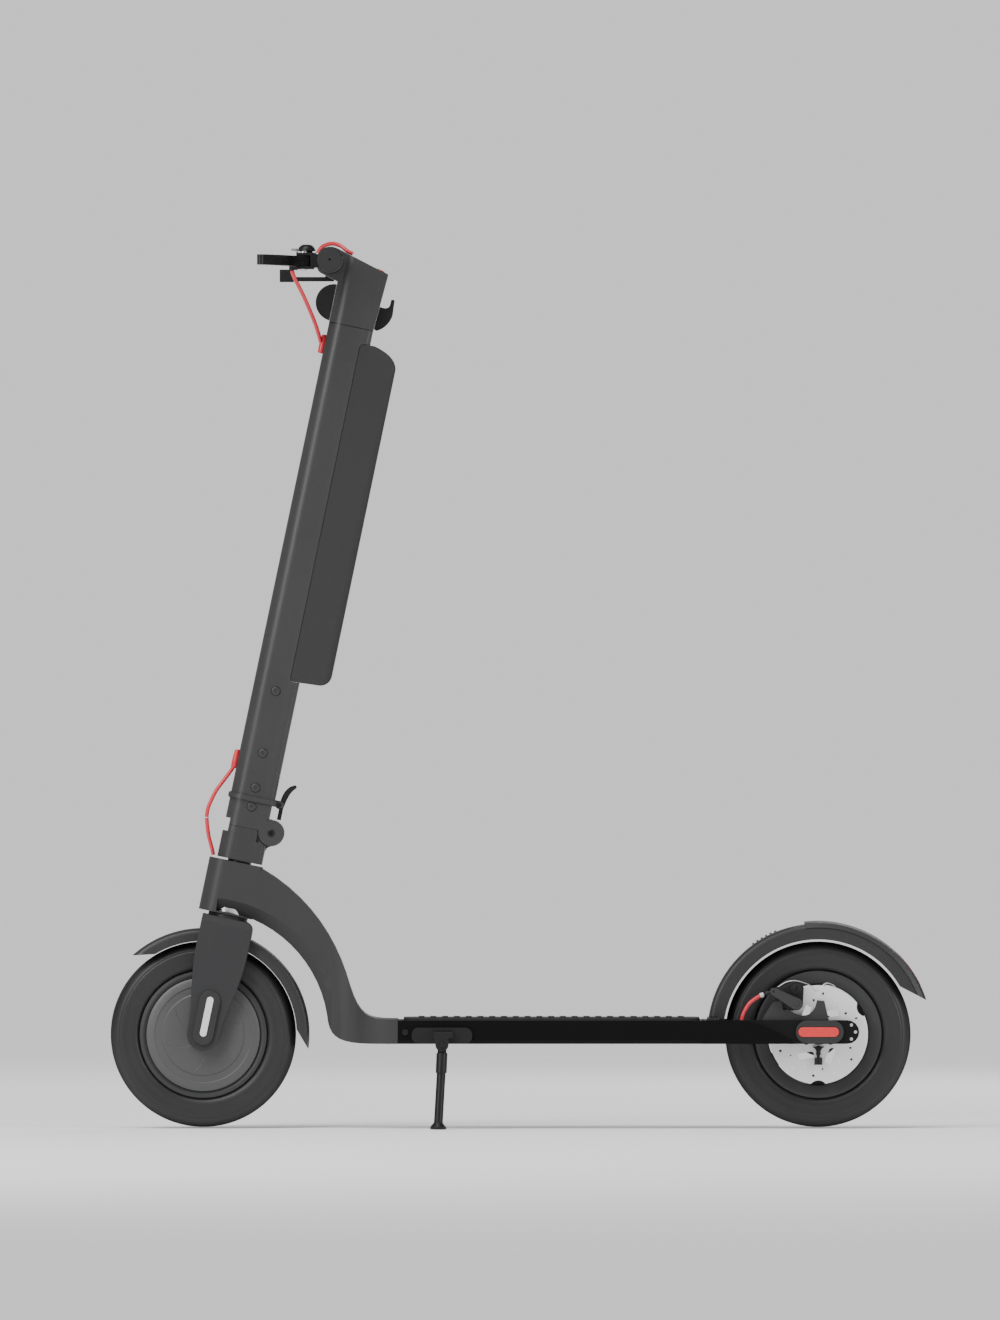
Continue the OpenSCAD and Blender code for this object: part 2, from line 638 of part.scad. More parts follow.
module kick_bracket() color("#232324") {
    translate([stand_x, 0, 0]) difference() {
        union() {
            plate_y(-deck_w / 2 - 4.5, -deck_w / 2) translate([0, deck_z + 11.5])
                polygon(slab(-41, 41, 10.5, 9, 9));
            for (y = [stand_y - 8, stand_y + 4.2]) plate_y(y, y + 3.8)
                polygon(concat(arc([0, stand_z], 9, 180, 360),
                    [[9, stand_z + 9.5], [15, stand_z + 9.5], [15, deck_z + 16], [-12, deck_z + 16]]));
            plate_y(stand_y - 7, stand_y + 7)
                polygon([[-12, stand_z + 9.5], [15, stand_z + 9.5], [15, deck_z + 16], [-12, deck_z + 16]]);
        }
        translate([0, 0, stand_z]) rod_y(4 + slip, stand_y - 20, stand_y + 20);
    }
    translate([stand_x, 0, stand_z]) rod_y(4, stand_y - 10, stand_y + 7.5);
}

// Leg: an eye on the pin, a sleeve, a tapered bar and a flat foot on the ground
module kick_leg() color("#2b2b2d") translate([stand_x, stand_y, stand_z]) difference() {
    union() {
        rod_y(8, -3.9, 3.9);
        translate([-6, -3.9, -14]) cube([12, 7.8, 12]);
        hull() {
            translate([0, 0, -13]) cylinder(r = 7.5, h = 2, $fn = 32);
            translate([-1, -3, -38]) cylinder(r = 7.5, h = 2, $fn = 32);
        }
        hull() {
            translate([-1, -3, -39]) cylinder(r = 6, h = 2, $fn = 32);
            translate([-5, -13, 5 - stand_z]) cylinder(r = 6, h = 2, $fn = 32);
        }
        hull() {
            translate([-5, -13, 8 - stand_z]) cylinder(r = 6, h = 1, $fn = 32);
            translate([-5, -14, -stand_z]) cylinder(r = 11, h = 3, $fn = 32);
        }
    }
    rod_y(4 + slip, -20, 20);
}

// ---- Fold ----

// Section of the stem: round in front, with a shallow channel along each side
function stem_section(inset = 0) = let (w = stem_w / 2 - inset, u0 = inset - stem_d / 2, u1 = stem_d / 2 - inset)
    both_sides(concat(
        arc([u1 - 8 + inset, w - 8 + inset], 8 - inset, 0, 90, 6),
        [[stem_d / 2 - 13, w - 0.2], [stem_d / 2 - 18, w - 0.8], [stem_d / 2 - 23, w - 0.4],
         [stem_d / 2 - 31, w]],
        arc([u0 + 20 - inset, w - 20 + inset], 20 - inset, 92, 180, 12)));

knuckle_r = 17.7;
knuckle_w = 13;
latch_z = 39.5;

// Lower half of the fold, clamped on the steerer
module stem_base() color("#2d2d2f") on_stem() difference() {
    union() {
        translate([0, 0, base_s]) linear_extrude(pin_s - base_s) polygon(stem_section(-0.5));
        translate([pin_u, 0, pin_s]) rod_y(knuckle_r, -knuckle_w, knuckle_w);
        plate_y(-knuckle_w, knuckle_w) polygon(concat([[10, pin_s], [10, pin_s - 33]],
            curve([[stem_d / 2, pin_s - 33], [stem_d / 2, pin_s - 21], [pin_u, pin_s - 19],
                [pin_u + 5, pin_s - 17]]), [[pin_u, pin_s]]));
    }
    translate([0, 0, base_s - 1]) cylinder(r = steerer_r + slip, h = pin_s - 14 - base_s + 1.5);
    both() translate([pin_u, 0, pin_s]) rod_y(knuckle_r + 1, knuckle_w, 60);
    translate([pin_u, 0, pin_s]) rod_y(5 + slip, -60, 60);
    translate([-40, -40, pin_s - 9]) cube([16, 80, 20]);
    both() translate([stem_d / 2 - 14, stem_w / 2 - 3, pin_s - 16]) cube([4, 5, 20]);
}

module fold_pin() color("#1a1a1a") on_pin() difference() {
    rod_y(5, -stem_w / 2 - 0.5, stem_w / 2 + 0.5);
    both() translate([0, stem_w / 2 - 2, 0]) rotate([-90, 0, 0]) cylinder(r = 2.8, h = 5, $fn = 6);
}

// Upper half of the fold: a block with two side lugs, a band, and a spigot inside the tube
module stem_foot() color("#2d2d2f") on_stem() difference() {
    union() {
        translate([0, 0, pin_s + gap]) linear_extrude(foot_s - pin_s - gap) polygon(stem_section());
        translate([0, 0, foot_s - 8.8]) linear_extrude(8.8) polygon(stem_section(-1.2));
        translate([0, 0, foot_s - 7.6]) linear_extrude(6) polygon(stem_section(-2.8));
        translate([0, 0, foot_s - 1]) linear_extrude(150)
            polygon(stem_section(stem_wall + gap));
        both() translate([pin_u, 0, pin_s]) {
            rod_y(knuckle_r, knuckle_w + gap, stem_w / 2);
            plate_y(knuckle_w + gap, stem_w / 2)
                polygon([[0, 0], [-8, gap], [-8, 18], [-2, 18], [knuckle_r, 0]]);
            plate_y(9.5, 14) translate([0, latch_z]) polygon(slab(-8, 9, 5.4, 1, 5.3));
        }
        translate([-stem_d / 2 - 3, -5, foot_s - 7]) cube([6, 10, 6]);
    }
    translate([0, 0, pin_s + 14]) linear_extrude(200) polygon(stem_section(stem_wall + 4));
    translate([pin_u, 0, pin_s]) rod_y(knuckle_r + 0.5, -knuckle_w - gap, knuckle_w + gap);
    on_lug_holes() rod_y(5 + slip, -60, 60);
    translate([-40, -40, pin_s - 10]) cube([16, 80, 19]);
    translate([pin_u - 6.5, -40, pin_s + 18]) cube([20, 80, 18]);
    translate([stem_d / 2 + 0.5, -9.3, foot_s - 12]) cube([20, 18.6, 20]);
    on_latch_pin() rod_y(3 + slip, -20, 20);
}

module on_latch_pin() translate([pin_u + 3, 0, pin_s + latch_z]) children();
module on_lug_holes() translate([pin_u, 0, pin_s]) children();

// Lever behind the fold, on its own pin through the foot's rear
module latch_lever() color("#29292b") on_pin() {
    plate_y(-8, 8) polygon(concat(
        [[3.5, latch_z - 20], [9, latch_z - 20], [9, latch_z - 4]],
        curve([[9, latch_z - 4], [11, latch_z + 6], [12, latch_z + 18], [20, latch_z + 26]]),
        arc([18.5, latch_z + 28], 2.6, -45, 135, 6),
        curve([[16, latch_z + 30], [6, latch_z + 24], [2, latch_z + 12], [3.5, latch_z - 4]])));
    translate([3, 0, latch_z]) rod_y(5.5, -9, 9);
    translate([3, 0, latch_z]) rod_y(3, -13.8, 13.8);
}

// ---- Stem tube ----

module stem_tube() color("#303032") on_stem() difference() {
    translate([0, 0, foot_s]) linear_extrude(tube_l) polygon(stem_section());
    translate([0, 0, foot_s - 1]) linear_extrude(tube_l + 2) polygon(stem_section(stem_wall));
    // Opening for the battery
    plate_y(-50, 50) polygon(pack_outline(-gap));
    // Hole for the cable loop
    translate([-stem_d / 2 - 5, 0, foot_s + 70]) rotate([0, 90, 0]) cylinder(r = 4, h = 12);
}

// Screws on both flat sides of the stem
module stem_screws() color("#39393b") on_stem() both() {
    for (s = [foot_s + 11, foot_s + 59, foot_s + 145])
        translate([1, stem_w / 2, s]) rotate([-90, 0, 0]) screw(6, 1.2);
    translate([1, stem_w / 2, foot_s - 15]) rotate([-90, 0, 0]) screw(6, 1.2);
}

// Side view of the stem head: square below, sloped on top, and clamped round the bar
function head_outline() = let (r = 20.5, s = tube_top_s) concat(
    [[stem_d / 2, s], [stem_d / 2 + 4.5, s + 79]],
    arc([bar_u, bar_s], r, 90 - top_slope, 235, 14),
    [[-stem_d / 2, s + 56], [-stem_d / 2, s]]);

clamp_w = 20;

module stem_head() color("#2f2f31") on_stem() difference() {
    union() {
        plate_y(-clamp_w, clamp_w) polygon(head_outline());
        intersection() {
            plate_y(-stem_w / 2, stem_w / 2) polygon(head_outline());
            translate([0, 0, tube_top_s]) linear_extrude(120) polygon(stem_section());
        }
        intersection() {
            plate_y(-stem_w / 2 + 1, stem_w / 2 - 1) polygon(head_outline());
            translate([5, -stem_w, tube_top_s + 1]) cube([60, 2 * stem_w, 120]);
        }
        translate([0, 0, tube_top_s - 16]) linear_extrude(17)
            polygon(stem_section(stem_wall + gap));
    }
    translate([bar_u, 0, bar_s]) rod_y(clamp_r + slip, -60, 60);
    translate([0, 0, tube_top_s - 20]) linear_extrude(60) polygon(slab(-22, 22, 16, 12, 5));
    on_top() translate([-52, -19, -2.5]) cube([50, 38, 10]);
    on_top() translate([-11, 0, -9]) cylinder(r = 5.3, h = 10);
}

// Frame on the sloped top of the head: X runs down to its rear corner, Z is square to it
module on_top() translate([stem_d / 2 + 4.5, 0, tube_top_s + 79]) rotate([0, top_slope, 0]) children();

module display() color("#0b0b0c") on_stem() on_top() difference() {
    translate([-51.7, -18.7, -2.4]) cube([49.4, 37.4, 2.8]);
    translate([-11, 0, -9]) cylinder(r = 5.3, h = 20);
}

module power_button() color("#3c3c3e") on_stem() on_top()
    translate([-11, 0, -4]) cylinder(r = 5, h = 5.6);

// J-shaped hook for a bag, which also holds the folded stem on the rear fender
module bag_hook() color("#2b2b2d") on_stem() translate([stem_d / 2, 0, tube_top_s])
    plate_y(-5, 5) polygon(concat(
        [[2.3, 34], [0.5, 3], [3.5, 1]],
        curve([[3.5, 1], [12, 4], [20, 14], [21.5, 26]]),
        [[20, 47], [15.5, 47], [15, 38]],
        curve([[15, 38], [13.5, 33.5], [9, 33], [3, 34]])));

// Head lamp on the front of the head
module headlight() color("#252527") on_stem() translate([-stem_d / 2 - gap, 0, tube_top_s + 27])
    difference() {
        plate_y(-20, 20) polygon(arc([1.5, 0], 25, 94, 266, 20));
        plate_y(-15, 15) polygon(concat(arc([1.5, 0], 26, 130, 230), arc([1.5, 0], 19, 230, 130)));
    }

module headlight_lens() color("#dfe6ea") on_stem() translate([-stem_d / 2 - gap, 0, tube_top_s + 27])
    plate_y(-14.7, 14.7) polygon(concat(arc([1.5, 0], 25, 131, 229), arc([1.5, 0], 19.4, 229, 131)));

// ---- Handlebar and controls ----

module handlebar() color("#1d1d1e") on_bar() difference() {
    union() {
        rod_y(bar_r, -bar_l / 2 + 4, bar_l / 2 - 4);
        rod_y(clamp_r, -34, 34);
        both() translate([0, 34, 0]) rotate([-90, 0, 0]) cylinder(r1 = clamp_r, r2 = bar_r, h = 16);
    }
    rod_y(bar_r - 2.5, -bar_l, bar_l);
}

module grips() color("#141414") on_bar() both() difference() {
    union() {
        rod_y(grip_r - 1, bar_l / 2 - grip_l, bar_l / 2);
        for (i = [0:8]) translate([0, bar_l / 2 - grip_l + 6 + i * 12, 0]) rod_y(grip_r, 0, 8);
        rod_y(grip_r, bar_l / 2 - 4, bar_l / 2);
    }
    rod_y(bar_r + slip, 0, bar_l / 2 - 3.5);
    rod_y(1.6, 0, bar_l);
}

// Clamp and body of the brake lever, with its bell seat
module lever_perch() color("#242426") on_bar() translate([0, lever_y, 0]) difference() {
    union() {
        rod_y(grip_r + 1, -9, 9);
        translate([-24, -9, -9]) cube([14, 18, 18]);
        translate([-46, -9, -11]) cube([24, 40, 22]);
        translate([-46, 12, -9]) cube([30, 18, 20]);
        translate([-56, 20, -12]) cube([12, 10, 9]);
    }
    rod_y(bar_r + slip, -40, 40);
    // Slot for the lever
    translate([-60, -20, -7.5]) cube([33, 42, 15]);
    translate([-36, -2, -20]) cylinder(r = 3 + slip, h = 40);
}

// Brake lever: a boss on its pin and a curved blade ahead of the grip
module brake_lever() color("#202022") on_bar() translate([-36, lever_y - 2, 0]) {
    cylinder(r = 3, h = 22, center = true);
    difference() {
        translate([0, 0, -7]) linear_extrude(14) polygon(concat(
            arc([0, 0], 8, -20, 110),
            curve([[-3, 8], [-16, 6], [-26, -2], [-30, -18]]),
            curve([[-30, -18], [-36, -52], [-46, -84], [-62, -112]]),
            arc([-57, -114], 5, 160, 340, 6),
            curve([[-52, -116], [-34, -84], [-22, -52], [-17, -24]]),
            curve([[-17, -24], [-14, -10], [-4, -8], [7.5, -2.7]])));
        cylinder(r = 2.9, h = 40, center = true);
    }
}

module bell() color("#1a1a1b") on_bar() translate([-32, lever_y + 20, 11]) {
    cylinder(r = 8, h = 2.5);
    translate([0, 0, 2.5]) rotate_extrude()
        polygon(concat([[0, 0], [12, 0]], arc([3, 0], 9, 0, 90), [[0, 9]]));
}

// Thumb tab that rings the bell
module bell_striker() color("#3a3a3c") on_bar() translate([-32, lever_y + 20, 11])
    translate([-14, 0, 0]) {
        cylinder(r = 1.8, h = 6);
        translate([-7, -3, 3]) cube([7, 6, 3]);
    }

module throttle_body() color("#1e1e1f") on_bar() translate([0, throttle_y, 0]) difference() {
    union() {
        rod_y(grip_r + 1, -10, 9);
        translate([-8, -10, -21]) cube([14, 8, 14]);
    }
    rod_y(bar_r + slip, -40, 40);
}

// Thumb paddle of the throttle, which turns about the bar
module throttle_paddle() color("#262627") on_bar() translate([0, throttle_y - 10, 0]) difference() {
    union() {
        rod_y(grip_r - 1, -9, -gap);
        translate([-52, -9, -25]) cube([56, 8.7, 6]);
        translate([-70, -16, -26]) cube([19, 15.7, 17]);
        translate([-8, -9, -22]) cube([12, 8.7, 12]);
    }
    rod_y(bar_r + 0.1, -40, 40);
}

module bar_cables() color("#cc2a32") on_bar() {
    tube(smooth(brake_route, 4), cable_r);
    tube(smooth(bar_route, 4), cable_r);
}

module loop_cable_upper() color("#cc2a32") on_stem() tube(smooth(loop_route_upper, 4), cable_r);
module loop_cable_lower() color("#cc2a32") on_stem() tube(smooth(loop_route_lower, 4), cable_r);

// ---- Battery ----

// Side view of the battery cover: rounded corners, with a larger one low at the rear
function pack_outline(inset = 0) = let (
    u0 = seam_u + inset, u1 = pack_rear_u - inset,
    s0 = pack_s + inset, s1 = pack_s + pack_l - inset) concat(
        arc([u1 - 16, s0 + 18], 16, -80, 0),
        curve([[u1, s1 - 30], [u1, s1 - 16], [u1 - 10, s1 - 6], [u1 - 34, s1]]),
        arc([u0 + 8, s1 - 8], 8, 90, 180),
        arc([u0 + 6, s0 + 6], 6, 180, 270));

module battery_cover() color("#3c3c3e") on_stem() difference() {
    intersection() {
        plate_y(-pack_w / 2, pack_w / 2) polygon(pack_outline());
        linear_extrude(3000) polygon(slab(seam_u - 1, pack_rear_u, pack_w / 2, 1, 9));
    }
    intersection() {
        plate_y(4 - pack_w / 2, pack_w / 2 - 4) polygon(pack_outline(3));
        linear_extrude(3000) polygon(slab(seam_u, pack_rear_u - 3, pack_w / 2 - 4, 1, 5));
    }
    translate([0, 0, pack_s + 8]) linear_extrude(pack_l - 22)
        polygon(slab(-19, 24 + gap, pack_w / 2 - 2.7, 18, 1));
}

// Inner body that slides into the stem, with contacts at its foot
module battery_body() color("#6a6258") on_stem() {
    difference() {
        translate([0, 0, pack_s + 8 + gap]) linear_extrude(pack_l - 22 - 2 * gap)
            polygon(slab(-19, 24, pack_w / 2 - 3, 18, 1));
        translate([0, 0, pack_s + 11]) linear_extrude(pack_l - 28)
            polygon(slab(-16.5, 30, pack_w / 2 - 4.5, 15.5, 1));
    }
    translate([-22, -8, pack_s + 20]) cube([3.2, 16, 26]);
}

module battery_cells() color("#3d7fa8") on_stem()
    for (k = [0:cell_rows - 1]) for (j = [0:cell_columns - 1]) both()
        translate([seam_u - 3.5 + j * cell_pitch, cell_r + 0.3, pack_s + 16 + k * (cell_l + 3)])
            cylinder(r = cell_r, h = cell_l, $fn = 32);

neck_frame();
deck_shell();
deck_mat();
rear_fork();
axle_caps();
rear_reflectors();
rear_axle();
rear_fender();
tail_light();
kick_bracket();
controller();
headset_bearings();
caliper_bracket();
caliper_body();
frame_screws();
rear_cable();
loop_cable_lower();
caliper_arm();
kick_leg();
rear_tyre();
rear_rim();
rear_bearings();
brake_disc();
disc_bolts();
rear_valve();
fork();
fork_caps();
front_reflectors();
front_axle();
motor_stator();
front_fender();
stem_base();
fold_pin();
front_tyre();
motor_shell();
motor_covers();
front_bearings();
stem_foot();
stem_tube();
stem_screws();
stem_head();
bag_hook();
headlight();
headlight_lens();
handlebar();
grips();
lever_perch();
bell();
throttle_body();
display();
bar_cables();
loop_cable_upper();
latch_lever();
brake_lever();
throttle_paddle();
bell_striker();
power_button();
battery_cover();
battery_body();
battery_cells();
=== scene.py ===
import json
import math

import bpy
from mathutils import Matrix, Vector

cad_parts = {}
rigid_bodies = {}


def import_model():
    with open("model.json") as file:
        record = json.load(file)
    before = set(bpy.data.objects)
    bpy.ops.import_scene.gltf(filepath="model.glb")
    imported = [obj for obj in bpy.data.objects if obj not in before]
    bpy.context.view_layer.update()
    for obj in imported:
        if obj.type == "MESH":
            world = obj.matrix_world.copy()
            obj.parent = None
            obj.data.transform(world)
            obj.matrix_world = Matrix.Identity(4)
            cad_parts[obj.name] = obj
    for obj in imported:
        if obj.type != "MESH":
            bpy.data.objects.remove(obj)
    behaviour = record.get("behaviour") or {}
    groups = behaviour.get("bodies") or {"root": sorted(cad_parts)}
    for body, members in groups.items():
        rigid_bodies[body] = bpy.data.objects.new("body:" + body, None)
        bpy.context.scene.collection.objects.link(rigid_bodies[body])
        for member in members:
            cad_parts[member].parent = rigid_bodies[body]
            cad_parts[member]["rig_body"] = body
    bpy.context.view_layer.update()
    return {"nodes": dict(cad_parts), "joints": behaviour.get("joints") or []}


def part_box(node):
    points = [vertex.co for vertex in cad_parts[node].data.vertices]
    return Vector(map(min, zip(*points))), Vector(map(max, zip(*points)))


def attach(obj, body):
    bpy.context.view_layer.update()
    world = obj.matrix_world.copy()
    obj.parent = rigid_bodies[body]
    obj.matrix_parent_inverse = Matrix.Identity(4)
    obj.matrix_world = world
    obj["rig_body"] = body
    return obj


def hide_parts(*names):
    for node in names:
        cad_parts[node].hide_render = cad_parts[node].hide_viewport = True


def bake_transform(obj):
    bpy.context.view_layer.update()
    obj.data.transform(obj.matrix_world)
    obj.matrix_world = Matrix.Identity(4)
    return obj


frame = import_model()
nodes = frame["nodes"]
joints = {joint["name"]: joint for joint in frame["joints"]}

# ---- Places, in metres ----

MM = 0.001
front_axle = Vector(joints["steer"]["pos_m"])
rear_axle = Vector(joints["rear_wheel_spin"]["pos_m"])
up_stem = Vector(joints["steer"]["axis"]).normalized()
back_of_stem = Vector((up_stem.z, 0, -up_stem.x))
across = Vector((0, 1, 0))
bar_low, bar_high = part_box("handlebar")
bar_centre = (bar_low + bar_high) / 2
bar_centre.y = 0
tyre_low, tyre_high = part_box("front_tyre")
tyre_r = (tyre_high.z - tyre_low.z) / 2
tyre_half_w = tyre_high.y


def on_stem(back, side, up):
    """A point beside the steering axis, in millimetres from the front axle"""
    return front_axle + (back * back_of_stem + side * across + up * up_stem) * MM


def on_bar(x, y, z):
    """A point beside the middle of the handlebar, in millimetres"""
    return bar_centre + Vector((x, y, z)) * MM


def at_rear_axle(x, y, z):
    """A point beside the middle of the rear axle, in millimetres"""
    return rear_axle + Vector((x, y, z)) * MM


# ---- Materials ----


class Wire:
    """A socket of a material's node; arithmetic on it adds Math nodes."""

    def __init__(self, tree, socket):
        self.tree = tree
        self.socket = socket

    def node(self, kind, settings, sockets, output=0):
        made = self.tree.nodes.new("ShaderNode" + kind)
        for name, value in settings.items():
            setattr(made, name, value)
        for name, value in sockets.items():
            if isinstance(value, Wire):
                self.tree.links.new(value.socket, made.inputs[name])
            else:
                made.inputs[name].default_value = value
        return Wire(self.tree, made.outputs[output])

    def math(self, operation, first, second=0.0):
        return self.node("Math", {"operation": operation}, {0: first, 1: second})

    def __add__(self, other):
        return self.math("ADD", self, other)

    def __sub__(self, other):
        return self.math("SUBTRACT", self, other)

    def __mul__(self, other):
        return self.math("MULTIPLY", self, other)

    def __radd__(self, other):
        return self.math("ADD", other, self)

    def __rsub__(self, other):
        return self.math("SUBTRACT", other, self)

    def __rmul__(self, other):
        return self.math("MULTIPLY", other, self)

    def sine(self):
        return self.math("SINE", self)

    def absolute(self):
        return self.math("ABSOLUTE", self)

    def noise(self, scale, detail):
        return self.node("TexNoise", {}, {"Vector": self, "Scale": scale, "Detail": detail})

    def stretched(self, x, y, z, scale, detail):
        """Noise drawn out along one direction, as brushing and scratches are"""
        placed = self.node("Mapping", {}, {"Vector": self, "Scale": (x, y, z)})
        return placed.noise(scale, detail)

    def part(self, letter):
        return self.node("SeparateXYZ", {}, {"Vector": self}, "XYZ".index(letter))

    def steps(self, low, high):
        """0 below low, 1 above high, and smooth between"""
        return self.node("MapRange", {"interpolation_type": "SMOOTHSTEP"}, {
            "Value": self, "From Min": low, "From Max": high})

    def blend(self, first, second):
        """A colour between two, by this wire"""
        return self.node("Mix", {"data_type": "RGBA"}, {0: self, 6: first, 7: second}, 2)


def shade(colour, factor):
    """A colour made darker or lighter by a factor"""
    return tuple(min(1.0, c * factor) for c in colour) + (1.0,)


class Finish:
    """A material being made: its shader, and the place on the piece that patterns read"""

    def __init__(self, name, **constants):
        self.material = bpy.data.materials.new(name)
        self.material.use_nodes = True
        self.tree = self.material.node_tree
        self.shader = self.tree.nodes["Principled BSDF"]
        coordinates = self.tree.nodes.new("ShaderNodeTexCoord")
        self.place = Wire(self.tree, coordinates.outputs["Object"])
        for socket, value in constants.items():
            self.shader.inputs[socket.replace("_", " ")].default_value = value

    def feed(self, socket, wire):
        self.tree.links.new(wire.socket, self.shader.inputs[socket])

    def relief(self, height, depth):
        """Bump of a given depth in millimetres"""
        bump = height.node("Bump", {}, {"Strength": 1.0, "Distance": depth * MM, "Height": height})
        self.feed("Normal", bump)

    def along(self, direction):
        """Distance from the front axle along a direction in the side view"""
        x = self.place.part("X") * direction.x
        z = self.place.part("Z") * direction.z
        return x + z - front_axle.dot(direction)

    def beside(self, centre):
        """Distances in X and Z from an axis along Y through centre"""
        return self.place.part("X") - centre.x, self.place.part("Z") - centre.z

    def radius(self, centre):
        x, z = self.beside(centre)
        return x.math("SQRT", x * x + z * z)

    def angle(self, centre):
        x, z = self.beside(centre)
        return x.math("ARCTAN2", z, x)


def coated(name, colour, rough=0.4, grain=1800, depth=0.03, cloud=0.12, shadowed_seam=None, **constants):
    """Paint, plastic or rubber: fine grain, a little unevenness, and faint rubbed marks

    The seam is given as a direction and a distance along it, in millimetres; a near-black line is
    painted there as painted shadow of the gap between the parts.
    """
    made = Finish(name, **{"Specular_IOR_Level": 0.3, **constants})
    uneven = made.place.noise(7, 4)
    fine = made.place.noise(grain, 2)
    rubbed = made.place.stretched(1, 1, 0.15, 160, 4).steps(0.62, 0.78)
    base = uneven.blend(shade(colour, 1 - cloud), shade(colour, 1 + cloud))
    marked = (rubbed * 0.25).blend(base, shade(colour, 1.5))
    speckled = (fine.steps(0.62, 0.7) * 0.3).blend(marked, shade(colour, 1.7))
    if shadowed_seam:
        direction, distance = shadowed_seam
        # painted shadow: a near-black line along the seam stands for the shade in the gap between the
        # parts
        offset = made.along(direction) - distance * MM
        line = 1 - offset.absolute().steps(0.35 * MM, 1.0 * MM)
        speckled = (line * 0.85).blend(speckled, shade(colour, 0.1))
    made.feed("Base Color", speckled)
    made.feed("Roughness", (uneven - 0.5) * 0.16 + (fine - 0.5) * 0.12 + (rough - rubbed * 0.05))
    made.relief(fine, depth)
    return made.material


def turned_metal(name, colour, centre, rough=0.28):
    """Steel with fine rings about an axle"""
    made = Finish(name, Metallic=0.55)
    radius = made.radius(centre)
    rings = radius.node("TexNoise", {"noise_dimensions": "1D"}, {
        "W": radius, "Scale": 2600.0, "Detail": 3.0})
    sweep = made.place.noise(30, 3)
    made.feed("Base Color", (rings * 0.6 + sweep * 0.4).blend(shade(colour, 0.82), shade(colour, 1.1)))
    made.feed("Roughness", rings * 0.22 + (rough - 0.08))
    made.relief(rings, 0.02)
    return made.material


def metal(name, colour, rough=0.35, draw=(1, 0.06, 1)):
    """Plain metal with drawn marks along one way"""
    made = Finish(name, Metallic=1.0)
    drawn = made.place.stretched(*draw, 900, 3)
    cloud = made.place.noise(40, 3)
    made.feed("Base Color", (drawn * 0.5 + cloud * 0.5).blend(shade(colour, 0.8), shade(colour, 1.15)))
    made.feed("Roughness", drawn * 0.2 + (cloud - 0.5) * 0.1 + (rough - 0.1))
    made.relief(drawn, 0.02)
    return made.material


def tyre_rubber(name, centre):
    """Rubber with fine moulded rings on its side, duller on the tread, whose colour is painted darker
    than the flank as painted shade
    """
    made = Finish(name, Specular_IOR_Level=0.35)
    radius = made.radius(centre)
    fine = made.place.noise(1500, 3)
    cloud = made.place.noise(14, 4)
    tread = radius.steps(tyre_r - 10 * MM, tyre_r - 4 * MM)
    side = cloud.blend((0.020, 0.020, 0.0204, 1), (0.026, 0.026, 0.0264, 1))
    # painted shade: the tread band is coloured darker than the flank, as where it curves away from the
    # light
    shaded_tread = (cloud * 0.5).blend((0.008, 0.008, 0.008, 1), (0.018, 0.0175, 0.017, 1))
    made.feed("Base Color", tread.blend(side, shaded_tread))
    made.feed("Roughness", tread * 0.2 + (fine - 0.5) * 0.1 + (cloud - 0.5) * 0.1 + 0.42)
    rings = (radius * 2600).sine()
    above_bead = radius.steps(tyre_r - 30 * MM, tyre_r - 28 * MM)
    flank = above_bead * (1 - radius.steps(tyre_r - 14 * MM, tyre_r - 13 * MM))
    made.relief(fine * 0.6 + rings * flank * 0.4, 0.12)
    return made.material


def hub_paint(name, centre):
    """Satin paint on the motor's covers, with the faint curved lines of the casting, whose grooves are
    painted darker as painted shade
    """
    made = Finish(name)
    radius = made.radius(centre)
    line = (made.angle(centre) * 3 + radius * 45).sine().absolute()
    reach = (1 - radius.steps(50 * MM, 53 * MM)) * radius.steps(20 * MM, 24 * MM)
    groove = (1 - line.steps(0.0, 0.07)) * reach
    fine = made.place.noise(1900, 2)
    cloud = made.place.noise(10, 4)
    colour = (0.068, 0.068, 0.0695)
    base = cloud.blend(shade(colour, 0.9), shade(colour, 1.1))
    # painted shade: the grooves of the casting lines are coloured darker
    made.feed("Base Color", (groove * 0.35).blend(base, shade(colour, 0.55)))
    made.feed("Roughness", (cloud - 0.5) * 0.15 + (fine - 0.5) * 0.1 + 0.46)
    made.relief(fine * 0.12 - groove, 0.25)
    return made.material


def reflector(name, colour):
    """Clear plastic over a field of small prisms"""
    made = Finish(name, Coat_Weight=1.0, Coat_Roughness=0.03)
    x = made.place.part("X")
    z = made.place.part("Z")
    weave = ((x + z) * 1500).sine() * ((x - z) * 1500).sine()
    facets = made.place.noise(220, 2)
    made.feed("Base Color", (weave * 0.25 + facets * 0.5).blend(shade(colour, 0.75), shade(colour, 1.2)))
    made.feed("Roughness", facets * 0.15 + 0.12)
    made.relief(weave, 0.15)
    return made.material


def lens(name):
    """Clear lamp lens with upright flutes"""
    made = Finish(name, Coat_Weight=1.0, Coat_Roughness=0.02)
    flutes = (made.place.part("Y") * 2100).sine()
    cloud = made.place.noise(60, 2)
    made.feed("Base Color", cloud.blend((0.62, 0.66, 0.70, 1), (0.80, 0.84, 0.88, 1)))
    made.feed("Roughness", cloud * 0.06 + 0.05)
    made.relief(flutes, 0.3)
    return made.material


def dark_glass(name):
    """Black display glass with faint smears"""
    made = Finish(name, Coat_Weight=1.0, Coat_Roughness=0.02)
    smear = made.place.stretched(1, 0.2, 1, 70, 4)
    made.feed("Base Color", smear.blend((0.006, 0.006, 0.007, 1), (0.011, 0.011, 0.013, 1)))
    made.feed("Roughness", smear.steps(0.4, 0.8) * 0.14 + 0.06)
    made.relief(smear, 0.01)
    return made.material


def cable_sheath(name, colour):
    """Glossy plastic sheath with a faint drawn grain"""
    made = Finish(name, Coat_Weight=0.25)
    fine = made.place.noise(900, 3)
    cloud = made.place.noise(50, 3)
    made.feed("Base Color", cloud.blend(shade(colour, 0.88), shade(colour, 1.12)))
    made.feed("Roughness", fine * 0.12 + 0.3)
    made.relief(fine, 0.04)
    return made.material


FLOOR_GLOW = 0.14


